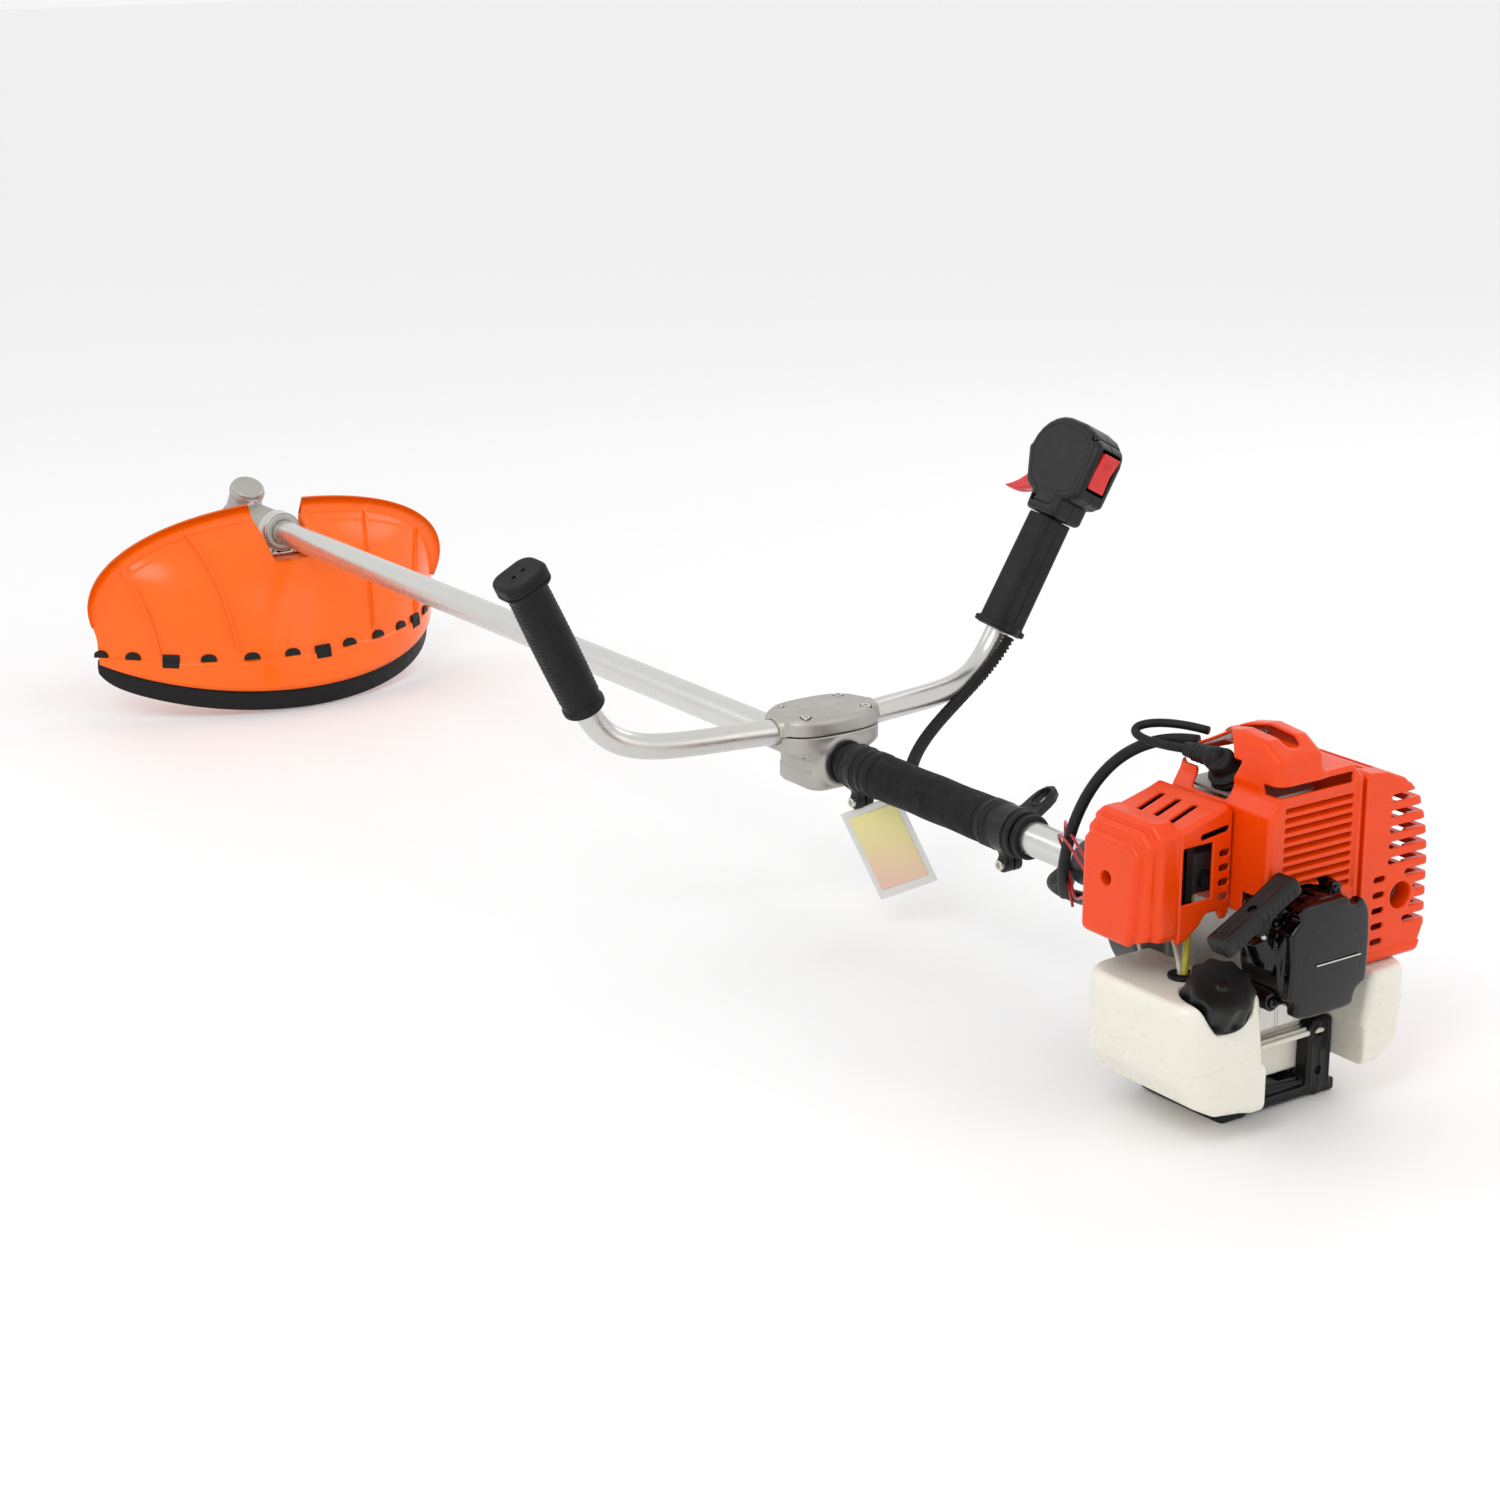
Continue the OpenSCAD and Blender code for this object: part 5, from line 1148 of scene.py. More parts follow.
def build_tube():
    length = np.linspace(TUBE_FRONT, TUBE_REAR, 60)
    profile = [(x, TUBE_R) for x in length] + [(TUBE_REAR, 12.5), (TUBE_FRONT, 12.5)]
    tube = make_mesh("main_tube", *turned(profile, BACKWARDS, 96))
    finish_piece(tube, "tube", "machine", "drive_tube")
    rings = [
        tube_ring(-467, -463, 19.2, grooves=(-465,)),
        tube_ring(-459, -449.2, 18.2, grooves=(-454,)),
        tube_ring(-434.8, -424, 19.6, grooves=(-430.5,)),
        tube_ring(-423, -411.2, 20.2, edge=1.6, grooves=(-420, -414)),
        tube_ring(-270.8, -256.2, 20.2, edge=1.6, grooves=(-268, -260)),
        tube_ring(-233.8, -226, 19.7, edge=1.4),
        tube_ring(-225, -217, 18.5, edge=1.8, grooves=(-222,)),
    ]
    finish_piece(gather("grip_end_rings", rings), "rubber", "machine", "tube_rings", slot="black")
    run = np.linspace(-411, -271, 71)
    swell = 19.4 + 0.25 * np.sin((run + 411) * 0.11) - 0.5 * (np.abs(run + 341) > 69)
    profile = [(-411, BORE_R)] + list(zip(run, swell)) + [(-271, BORE_R)]
    foam = make_mesh("foam_grip", *turned(profile, BACKWARDS, 96))
    finish_piece(foam, "foam", "machine", "foam_sleeve")


def tube_band(p, x0, x1):
    """A split band with two bolt ears under the tube."""
    z = TUBE_Z
    band = tube_rod(p, x0, x1, 19.5, 1.4)
    middle = (x0 + x1) / 2
    ear = rod(p, (middle, -8.5, z - 28.5), (middle, 8.5, z - 28.5), 6.6, 1.2)
    neck = box(p, (middle - 5.8, -8, z - 29), (middle + 5.8, 8, z - 12), 2.2)
    shape = join(band, join(ear, neck, 2), 4)
    shape = join(shape, hoop(p, (x0 + 1.8, 0, z), (1, 0, 0), 19.2, 1.2), 1)
    shape = join(shape, hoop(p, (x1 - 1.8, 0, z), (1, 0, 0), 19.2, 1.2), 1)
    shape = cut(shape, tube_rod(p, x0 - 2, x1 + 2, BORE_R, 0.1), 0.3)
    shape = cut(shape, box(p, (x0 - 2, -1, z - 40), (x1 + 2, 1, z), 0.2), 0.4)
    return cut(shape, rod(p, (middle, -12, z - 28.5), (middle, 12, z - 28.5), 2.7, 0.1), 0.5)


def front_band(p):
    shape = tube_band(p, -449, -435)
    clip = rod(p, (-442, 16, TUBE_Z + 3), (-442, 26, TUBE_Z + 3), 5.4, 1.2)
    hook = rod(p, (-442, 22, TUBE_Z + 3), (-442, 27, TUBE_Z + 8), 4.2, 1.4)
    shape = join(shape, join(clip, hook, 2), 3)
    return cut(shape, tube_rod(p, -452, -430, BORE_R, 0.1), 0.3)


EYE_X = -245
EYE = Place((0, 0, TUBE_Z), ("x", -60))


def harness_eye(p):
    """The rear band with its eye plate, which leans to the machine's right."""
    shape = tube_band(p, -256, -234)
    q = EYE.local(p) - vec(EYE_X, 0.5, 0)
    tongue = [(-11.5, 14), (11.5, 14), (11, 36), (10, 43), (6, 50), (0, 52.8), (-6, 50), (-10, 43), (-11, 36)]
    plate = prism(q, 1, tongue, -3.2, 3.2, 1.3, 3)
    shape = join(shape, plate, 5)
    slot = capsule(q * vec(1, 0, 1), (0, 0, 34), (0, 0, 42), 4.7)
    rim = meet(meet(slot - 2.6, -(slot - 0.4)), np.abs(q[:, 1]) - 4.4, 0.8)
    shape = cut(join(shape, rim, 1), slot, 1)
    shape = cut(shape, meet(box(q, (-6, 2.4, 17), (6, 6, 25), 1), plate - 1), 0.6)
    return cut(shape, tube_rod(p, -260, -230, BORE_R, 0.1), 0.3)


def build_bands():
    mould("hang_tag_band", front_band, (-449, -20, 94), (-435, 28, 150), 0.55, "black", "machine",
          "front_band")
    mould("harness_eye", harness_eye, (-258, -20, 94), (-232, 52, 166), 0.6, "black", "machine",
          "harness_bracket")


CLAMP = vec(-500, 0, 155)
BAR_Z = 157
SEAM_Z = CLAMP[2] + 0.4
CLAMP_SCREWS = [(x, y) for x in (-20, 20) for y in (-32, 32)]


def clamp_plan(p):
    """Soft lens-shaped outline of the clamp, seen from above."""
    x, y = np.abs(p[:, 0] - CLAMP[0]) / 33, np.abs(p[:, 1]) / 51
    power = 2.75
    radius = (x ** power + y ** power + 1e-9) ** (1 / power)
    return (radius - 1) * 36


def clamp_cap(p):
    top = 172
    plan = clamp_plan(p)
    above = p[:, 2] - top
    shape = meet(plan, above, 5)
    bevel = plan + (p[:, 2] - (top - 5)) * 0.75
    shape = meet(shape, bevel, 1.6)
    shape = meet(shape, SEAM_Z + 0.5 - p[:, 2], 1.0)
    shape = join(shape, meet(rod(p, (CLAMP[0], -53, BAR_Z), (CLAMP[0], 53, BAR_Z), 13.6, 1.5),
                             SEAM_Z + 0.5 - p[:, 2], 0.6), 4)
    shape = cut(shape, rod(p, (CLAMP[0], -70, BAR_Z), (CLAMP[0], 70, BAR_Z), 11.05, 0.1), 0.5)
    for x, y in CLAMP_SCREWS:
        shape = cut(shape, rod(p, (CLAMP[0] + x, y, top - 4), (CLAMP[0] + x, y, top + 4), 5.3, 0.3), 1.0)
        shape = cut(shape, rod(p, (CLAMP[0] + x, y, top - 30), (CLAMP[0] + x, y, top), 2.7, 0.1), 0.2)
    # a plain raised rib across the top between the screws
    return join(shape, box(p, (CLAMP[0] - 24, -1.2, top - 2), (CLAMP[0] + 24, 1.2, top + 0.5), 0.5), 1.2)


def clamp_base(p):
    split = SEAM_Z - 0.2
    rim = meet(clamp_plan(p), np.maximum(p[:, 2] - split, 141 - p[:, 2]), 1.2)
    waist = prism(p - vec(CLAMP[0], 0, 0), 2, round_rect(60, 58, 14), 105, 146, 4, 0)
    flare = prism(p - vec(CLAMP[0], 0, 0), 2, round_rect(60, 76, 18), 134, 146, 6, 0)
    shape = join(join(rim, waist, 8), flare, 8)
    # chamfered foot with a line round it
    foot = prism(p - vec(CLAMP[0], 0, 0), 2, round_rect(61.5, 59.5, 15), 108, 121, 1, 0)
    shape = join(shape, foot, 1.5)
    shape = join(shape, tube_rod(p, -533, -467, 22, 1.5), 4)
    shape = cut(shape, CLAMP[2] - 0.2 - p[:, 2], 0.6)
    shape = cut(shape, tube_rod(p, -560, -440, BORE_R, 0.1), 0.8)
    shape = cut(shape, rod(p, (CLAMP[0], -70, BAR_Z), (CLAMP[0], 70, BAR_Z), 11.05, 0.1), 0.5)
    for x, y in CLAMP_SCREWS:
        shape = cut(shape, rod(p, (CLAMP[0] + x, y, 135), (CLAMP[0] + x, y, 160), 2.5, 0.1), 0.2)
    return shape


def bar_path(side):
    """The handlebar's centre line from the clamp out to a grip's end."""
    up = grip_place(side).axes[:, 2]
    foot = GRIP_FOOT * vec(1, side, 1)
    start = vec(CLAMP[0], side * 52, BAR_Z)
    bend = bezier(start, start + vec(-8, side * 112, 4), foot - up * 62, foot, 56)
    return np.concatenate([[start - vec(0, side * 20, 0)], bend, [foot + up * d for d in (10, 40, 80, 120)]])


def build_handlebar():
    path = np.concatenate([bar_path(-1)[::-1], bar_path(1)])
    finish_piece(sweep("handlebar_tube", path, 11, 40), "bar", "machine", "handlebar")
    lo, hi = (-534, -52, 104), (-466, 52, 173)
    mould("clamp_upper_half", clamp_cap, lo, hi, 0.8, "cast", "machine", "clamp_cap")
    mould("clamp_lower_half", clamp_base, lo, hi, 0.85, "cast", "machine", "clamp_base")


# ---- grips and controls -------------------------------------------------------------------

LEFT, RIGHT = grip_place(-1), grip_place(1)


def left_grip(p):
    swell = 0.9 * np.sin(np.clip(p[:, 2] / 130, 0, 1) * math.pi)
    body = prism(p, 2, round_rect(30, 33, 13), 0, 136, 2, 0) - swell
    shape = join(body, rod(p, (0, 0, 0), (0, 0, 6.5), 18.5, 1.8), 1.6)
    cap = prism(p, 2, round_rect(38, 43, 13), 127, 142, 3.2, 0)
    shape = join(shape, cap, 1.5)
    groove = np.hypot(np.maximum(np.abs(prism(p, 2, round_rect(37, 42, 13), 100, 150, 0.1, 0)) - 0.3, 0),
                      p[:, 2] - 132) - 0.7
    shape = cut(shape, groove, 0.5)
    ring = np.abs(repeat(p[:, 2], 4.2, 14, 26)) - 0.5
    rib = meet(meet(ring, body - 0.55), np.abs(p[:, 0]) - 9, 0.5)
    shape = join(shape, rib, 0.5)
    for y in (-5, 5):
        shape = cut(shape, rod(p, (0, y, 137), (0, y, 150), 1.9, 0.2), 0.6)
    return cut(shape, rod(p, (0, 0, -5), (0, 0, 122), 11.1, 0.3), 0.5)


def right_grip(p):
    """Four-sided grip with soft corners and a wide bottom flange."""
    taper = 1.2 * np.clip(1 - p[:, 2] / 110, 0, 1)
    body = prism(p, 2, round_rect(31.5, 31.5, 6), 0, 110, 1.2, 0) - taper * 0.6
    flange = prism(p, 2, round_rect(38.5, 40, 9), 0, 5.5, 1.4, 0)
    shape = join(body, flange, 2)
    shape = join(shape, rod(p, (19, -3, 0), (19, -3, 7), 8, 1.2), 2)
    shape = cut(shape, box(p, (-24, -6.6, 87.4), (-12.5, 6.6, 102.6), 1), 0.8)
    seam = meet(np.abs(p[:, 1]) - 0.35, np.maximum(14.8 - np.abs(p[:, 0]), -(p[:, 2] - 6)))
    shape = cut(shape, seam, 0.4)
    return cut(shape, rod(p, (0, 0, -5), (0, 0, 130), 11.1, 0.3), 0.5)


def switch_side():
    arc = [(-14 + 34 * math.cos(math.radians(180 - 15 * i)), 168 + 33 * math.sin(math.radians(180 - 15 * i)))
           for i in range(7)]
    return ([(-18, 112), (-20, 126), (-34, 134), (-50, 164)] + arc +
            [(8, 200), (22, 196), (34, 188), (38, 176), (38, 136), (30, 130), (22, 128), (22, 112)])


SWITCH_HOLLOW = [(-15, 132), (-30, 138), (-44, 166), (-34, 184), (-14, 195), (16, 194), (34, 180), (34, 140),
                 (16, 132)]
SWITCH_SCREWS = [(28, 190), (-12, 122)]


def switch_body(p, side):
    shape = prism(p, 1, switch_side(), -19, 19, 5.5, 4)
    collar = prism(p, 2, round_rect(40, 37, 8), 112, 132, 2.5, 0)
    shape = join(shape, collar, 4)
    # a raised rear block that carries the rocker
    shape = join(shape, box(p, (20, -15.5, 134), (38.5, 15.5, 186), 4), 4)
    # sunk side panel with a fine line round it
    line = np.abs(prism(p, 1, inset(switch_side(), 8), -40, 40, 1, 4)) - 0.35
    shape = cut(shape, meet(line, 18.3 - np.abs(p[:, 1])), 0.4)
    shape = cut(shape, prism(p, 1, SWITCH_HOLLOW, -16.8, 16.8, 0.5, 0), 0.3)
    shape = cut(shape, rod(p, (0, 0, 100), (0, 0, 122), 11.1, 0.1), 0.3)
    shape = cut(shape, rod(p, (0, 0, 110), (0, 0, 138), 6, 0.1), 0.2)
    shape = cut(shape, box(p, (-60, -8, 126), (-24, 8, 164), 1), 0.8)
    shape = cut(shape, box(p, (30, -11.5, 144), (50, 11.5, 184), 1), 0.8)
    for x, z in SWITCH_SCREWS:
        shape = cut(shape, rod(p, (x, -30, z), (x, -14, z), 3.1, 0.1), 0.5)
        shape = cut(shape, rod(p, (x, -30, z), (x, 17, z), 1.7, 0.1), 0.2)
    half = side * p[:, 1]
    return meet(shape, 0.12 - half, 0.5)


def pins(p):
    parts = [rod(p, (x, -18, z), (x, 15.5, z), r, 0.3) for x, z, r in ((-24, 158, 2.5), (26, 164, 2))]
    return all_of(parts)


def switch_left(p):
    return join(switch_body(p, -1), pins(p), 0.4)


def switch_right(p):
    return switch_body(p, 1)


def trigger(p):
    lower = [mix_curve((-34, 131), (-58, 120), (-73, 124), i / 8) for i in range(9)]
    upper = [mix_curve((-73, 124), (-52, 132), (-42, 152), i / 8) for i in range(1, 9)]
    points = [(-27, 163), (-21, 163), (-18, 158), (-20, 150), (-28, 143)] + lower + upper
    blade = prism(p, 1, points, -6, 6, 2.2, 0)
    shape = join(blade, rod(p, (-24, -7, 158), (-24, 7, 158), 6, 0.6), 1.0)
    grooves = np.abs(repeat(p[:, 1], 2.4, -3.6, 4)) - 0.35
    grooves = meet(grooves, meet(-(blade + 0.6), p[:, 0] + 46))
    shape = cut(shape, grooves, 0.5)
    return cut(shape, rod(p, (-24, -10, 158), (-24, 10, 158), 2.55, 0.1), 0.2)


def mix_curve(a, b, c, t):
    s = 1 - t
    return tuple(s * s * u + 2 * s * t * v + t * t * w for u, v, w in zip(a, b, c))


def rocker(p):
    points = [(32, 147.5), (39.5, 146.5), (38.5, 164), (42, 181), (34, 180.5), (31, 164)]
    shape = prism(p, 1, points, -10, 10, 1.2, 0.4)
    shape = join(shape, rod(p, (26, -9.8, 164), (26, 9.8, 164), 5, 0.5), 0.8)
    shape = join(shape, box(p, (26, -9.6, 160), (35, 9.6, 168), 0.6), 0.8)
    # plain bar and ring marks, as on any rocker
    shape = join(shape, box(p, (37.6, -3.5, 153), (39.9, 3.5, 154.6), 0.3), 0.3)
    ring = hoop(p, (40.6, 0, 172), (0.98, 0, -0.2), 2.8, 0.6)
    shape = join(shape, ring, 0.3)
    return cut(shape, rod(p, (26, -12, 164), (26, 12, 164), 2.05, 0.1), 0.2)


def lock_button(p):
    shape = meet(box(p, (-22.5, -6, 88), (-16.5, 6, 102), 1.2),
                 rod(p, (-13, -10, 95), (-13, 10, 95), 9.5, 0.5), 1)
    r = in_row(p, 2, 2.4, 91.4, 4)
    return cut(shape, box(r, (-24, -4.6, -0.4), (-21.2, 4.6, 0.4), 0.2), 0.5)


def build_grips():
    mould("left_hand_grip", left_grip, (-21, -24, 0), (21, 24, 143), 0.7, "rubber", "machine", "left_grip",
          place=LEFT)
    mould("right_hand_grip", right_grip, (-21, -21, 0), (28, 21, 111), 0.7, "rubber", "machine", "right_grip",
          place=RIGHT)
    mould("control_case_left", switch_left, (-52, -20, 111), (44, 17, 203), 0.7, "black", "machine",
          "switch_housing_left", place=RIGHT)
    mould("control_case_right", switch_right, (-52, -0.5, 111), (44, 20, 203), 0.7, "black", "machine",
          "switch_housing_right", place=RIGHT)
    mould("trigger_blade", trigger, (-75, -8, 118), (-16, 8, 166), 0.5, "red", "trigger", "throttle_trigger",
          place=RIGHT)
    mould("rocker_button", rocker, (20, -11, 144), (45, 11, 184), 0.45, "red", "rocker", "stop_switch",
          place=RIGHT)
    mould("lock_button_cap", lock_button, (-24, -7, 87), (-15, 7, 103), 0.4, "black", "lock_button",
          "throttle_lock", place=RIGHT)


def build_cables():
    foot = RIGHT.origin
    conduit = even(bezier(foot + vec(19, -3, -3), (-516, 190, 152), (-502, 104, 132), (-414, 30, 126), 80),
                   0.9)
    ripple = 4.9 + 0.65 * np.sign(np.sin(np.arange(len(conduit)) * 2 * math.pi / 4.5))
    run = [(-413, 27, 118), (-380, 27, 116), (-250, 28, 114), (-215, 26, 116), (-192, 18, 105),
           (-160, -16, 104)]
    low = curve_through(run, 16)[:-1]
    high = bezier((-160, -16, 104), (-120, -60, 150), (-105, -50, 262), (-17, -18, 264), 60)
    sleeve = np.concatenate([low, high])
    nets = [skin(rings_along(conduit, ripple, 20)), skin(rings_along(sleeve, 4.5, 16))]
    finish_piece(gather("throttle_conduit", nets), "rubber", "machine", "cable_conduit", slot="black")


# ---- gear case, line head and spool -------------------------------------------------------

SOCKET_END = APEX_X + 108
LUG_X = SOCKET_END - 42
FLANGE_TOP, HEAD_TOP, HEAD_BOTTOM = -31, -47, -89
HEAD_R = 58


def gear_case(p):
    q = SPINDLE.local(p)
    z = TUBE_Z
    shape = rod(q, (0, 0, -30), (0, 0, 44), 19, 3.5)
    shape = join(shape, rod(q, (0, 0, 33), (0, 0, 39), 20.3, 1.6), 1)
    shape = join(shape, rod(q, (0, 0, -30), (0, 0, 2), 22.5, 2), 3)
    shape = join(shape, rod(q, (0, 0, -30), (0, 0, -22), 28, 2), 3)
    socket = tube_rod(p, APEX_X, SOCKET_END, 19, 1.5)
    shape = join(shape, socket, 8)
    shape = join(shape, tube_rod(p, SOCKET_END - 14, SOCKET_END, 21, 2), 3)
    lug = box(p, (LUG_X - 14, 0, z - 7), (LUG_X + 14, 30, z + 7), 3.5)
    shape = join(shape, lug, 4)
    spine = box(p, (APEX_X, -1.8, z - 22), (SOCKET_END - 16, 1.8, z + 22), 1.5)
    shape = join(shape, spine, 3)
    shape = join(shape, rod(p, (APEX_X + 24, -17, z + 10), (APEX_X + 24, -25, z + 10), 6, 1.2), 2)
    shape = cut(shape, tube_rod(p, TUBE_FRONT, SOCKET_END + 5, BORE_R, 0.1), 0.4)
    shape = cut(shape, tube_rod(p, APEX_X + 8, TUBE_FRONT + 2, 12.8, 0.2), 0.3)
    for z0, z1, r in ((-36, -16, 13), (-18, -12, 8), (-14, 22, 15.2), (20, 31, 11)):
        shape = cut(shape, rod(q, (0, 0, z0), (0, 0, z1), r, 0.2), 0.3)
    shape = cut(shape, box(p, (LUG_X - 18, 0, z - 1), (SOCKET_END + 4, 36, z + 1), 0.3), 0.4)
    for x in (-7, 7):
        shape = cut(shape, rod(p, (LUG_X + x, 24, z - 10), (LUG_X + x, 24, z + 12), 2.7, 0.1), 0.4)
    return cut(shape, rod(p, (APEX_X + 24, -30, z + 10), (APEX_X + 24, -21, z + 10), 3, 0.1), 0.5)


def line_head(p):
    """Round cutting head with ribs on its shoulder and two line eyes."""
    rim = rod(p, (0, 0, HEAD_BOTTOM), (0, 0, HEAD_TOP - 11), HEAD_R, 4)
    shape = join(rim, rod(p, (0, 0, HEAD_TOP - 14), (0, 0, HEAD_TOP), HEAD_R, 1.5, HEAD_R - 12), 2)
    q = around(p, 16)
    ribs = box(q, (30, -1.4, HEAD_TOP - 16), (HEAD_R + 1.2, 1.4, HEAD_TOP + 0.6), 1)
    ribs = meet(ribs, shape - 1.6)
    shape = join(shape, ribs, 1)
    shape = join(shape, hoop(p, (0, 0, HEAD_BOTTOM + 5), (0, 0, 1), HEAD_R - 0.3, 1.6), 1)
    r = mirror_y(p)
    eye = rod(r, (0, HEAD_R - 4, HEAD_BOTTOM + 16), (0, HEAD_R + 1.4, HEAD_BOTTOM + 16), 7, 1.2)
    shape = join(shape, eye, 1.6)
    shape = cut(shape, rod(p, (0, 0, HEAD_BOTTOM - 9), (0, 0, HEAD_TOP - 12), HEAD_R - 4, 1), 0.6)
    shape = cut(shape, rod(r, (0, HEAD_R - 14, HEAD_BOTTOM + 16), (0, HEAD_R + 9, HEAD_BOTTOM + 16), 3,
                           0.2), 0.5)
    return cut(shape, rod(p, (0, 0, HEAD_TOP - 30), (0, 0, HEAD_TOP + 9), 5.1, 0.1), 0.3)


def spool_knob(p):
    z = HEAD_BOTTOM
    knob = rod(p, (0, 0, z - 14), (0, 0, z + 5), 26.5, 4)
    q = around(p, 10)
    knob = cut(knob, rod(q, (31.5, 0, z - 20), (31.5, 0, z + 1), 8, 0.5), 2)
    hub = rod(p, (0, 0, z + 3), (0, 0, z + 26), 22, 0.8)
    lower = rod(p, (0, 0, z + 4), (0, 0, z + 6.5), HEAD_R - 6, 0.8)
    upper = rod(p, (0, 0, z + 24), (0, 0, z + 26.5), HEAD_R - 6, 0.8)
    shape = join(join(knob, hub, 1), join(lower, upper), 0.6)
    return cut(shape, rod(p, (0, 0, z - 7), (0, 0, z + 40), 9.1, 0.3), 0.4)


def build_cutter():
    mould("gear_case_casting", gear_case, (-1682, -30, 88), (-1531, 32, 179), 1.0, "cast", "machine",
          "gear_case")
    top = FLANGE_TOP
    profile = [(top - 16, 5.05), (top - 16, 39), (top - 15.3, 40), (top - 11.5, 40), (top - 11, 39.3),
               (top - 8, 33), (top - 4, 27.5), (top - 0.8, 25), (top, 24), (top, 5.05)]
    flange = make_mesh("clamping_flange", *turned(profile, SPINDLE, 72))
    finish_piece(flange, "bright", "cutter", "blade_flange", slot="steel")
    mould("line_head_shell", line_head, (-61, -61, HEAD_BOTTOM - 1), (61, 61, HEAD_TOP + 2), 1.1, "black",
          "cutter", "trimmer_head", place=SPINDLE)
    spool = solid("bump_knob", spool_knob, (-53, -53, HEAD_BOTTOM - 15), (53, 53, HEAD_BOTTOM + 28), 1.0,
                  SPINDLE)
    coils = [(z, 42 - 1.2 * (1 - abs(math.sin((z - HEAD_BOTTOM - 7.3) * math.pi / 2.4))))
             for z in np.arange(HEAD_BOTTOM + 7.3, HEAD_BOTTOM + 23.5, 0.4)]
    z0, z1 = HEAD_BOTTOM + 6.6, HEAD_BOTTOM + 23.9
    profile = [(z0, 22.1), (z0, 40.5)] + coils + [(z1, 40.5), (z1, 22.1)]
    line = make_mesh("wound_line", *turned(profile, SPINDLE, 72))
    finish_piece(spool, "black", "spool", "line_spool")
    finish_piece(line, "red", "spool")
    tails = []
    for side in (-1, 1):
        bend = ((0, 45), (0, 54), (0, 60), (1, 63.5), (3, 66))
        path = [SPINDLE.world((x, side * y, HEAD_BOTTOM + 16)) for x, y in bend]
        tails.append(skin(rings_along(curve_through(path, 4), 1.3, 12)))
    finish_piece(gather("line_ends", tails), "red", "cutter")


# ---- guard --------------------------------------------------------------------------------

RIM_TILT, RIM_X, RIM_Z, RIM_R = 15, -1695, 28, 242
HALF_ANGLE, LIP_X, LIP_RISE, LIP_H = 64, -1552, 148, 15
VALLEY_Z, VALLEY_T, WALL_G = TUBE_Z - 27, 0.054, 3
BOWL_CENTRE = vec(-1650, 0, 0)
RIB_PLACES = (-0.64, -0.31, 0.31, 0.64)
SMALL_TABS = (-0.93, -0.77, -0.44, -0.26, -0.09, 0.17, 0.33, 0.49, 0.76, 0.91)
LARGE_TABS = (-0.6, 0.04, 0.62)


def smooth_step(x, a, b):
    t = np.clip((x - a) / (b - a), 0, 1)
    return t * t * (3 - 2 * t)


def unit(v):
    return v / np.linalg.norm(v, axis=-1, keepdims=True)


def rim_point(t, r=RIM_R):
    a = np.radians(HALF_ANGLE * np.asarray(t, float))
    tilt = math.radians(RIM_TILT)
    return np.stack([RIM_X + r * np.cos(a) * math.cos(tilt), r * np.sin(a),
                     RIM_Z - r * np.cos(a) * math.sin(tilt)], -1)


def in_valley(t):
    return 1 - smooth_step(np.abs(t), VALLEY_T, VALLEY_T + 0.011)


def lip_point(t):
    t = np.asarray(t, float)
    b = np.radians(90 * t)
    c = np.maximum(np.cos(b), 0) ** 0.55
    end = rim_point(1.0)
    high = end[2] + LIP_RISE * c
    return np.stack([mix(end[0], LIP_X, c), end[1] * np.sign(t) * np.abs(np.sin(b)) ** 0.85, high], -1)


def shelf(points, t):
    """Points of the bowl, held down to the flat mounting shelf inside the notch."""
    low = np.minimum(points[..., 2], VALLEY_Z)
    return np.concatenate([points[..., :2], mix(points[..., 2], low, in_valley(t))[..., None]], -1)


def bowl_point(t, s):
    t = np.asarray(t, float)
    s = np.asarray(s, float)[..., None]
    lip, rim = lip_point(t), rim_point(t)
    knee = mix(lip, rim, vec(0.72, 0.75, 0.2))
    u = 1 - s
    return shelf(u * u * lip + 2 * u * s * knee + s * s * rim, t)


def lip_top(t):
    p = shelf(lip_point(t), t)
    up = unit(np.stack([0 * p[..., 0], p[..., 1], p[..., 2]], -1))
    return p + up * (mix(LIP_H * (1 - (np.abs(t) / 0.94) ** 12), 0, in_valley(t)) + 0.5)[..., None]


def bowl_normal(t, s):
    h = 1e-3
    across = bowl_point(t + h, s) - bowl_point(t - h, s)
    down = bowl_point(t, np.minimum(s + h, 1.0)) - bowl_point(t, np.maximum(s - h, 0.0))
    n = unit(np.cross(down, across))
    outward = bowl_point(t, s) - BOWL_CENTRE
    return n * np.sign((n * outward).sum(-1, keepdims=True))


def guard_relief(t, s):
    """How far the bowl's outer face stands out: ribs, the lower band and a step under the lip."""
    ribs = sum(smooth_step(-np.abs(t - place), -0.0082, -0.0054) for place in RIB_PLACES)
    ribs = ribs * smooth_step(s, 0.03, 0.07) * (1 - smooth_step(s, 0.80, 0.84))
    wave = 0.865 + 0.006 * np.sin(t * 21)
    band = smooth_step(s, wave, wave + 0.012)
    step = smooth_step(np.abs(t), 0.09, 0.10) * (1 - smooth_step(np.abs(t), 0.60, 0.62))
    step = step * smooth_step(s, 0.05, 0.06) * (1 - smooth_step(s, 0.115, 0.145)) * 1.2
    return 4.2 * ribs + 2.2 * band + step


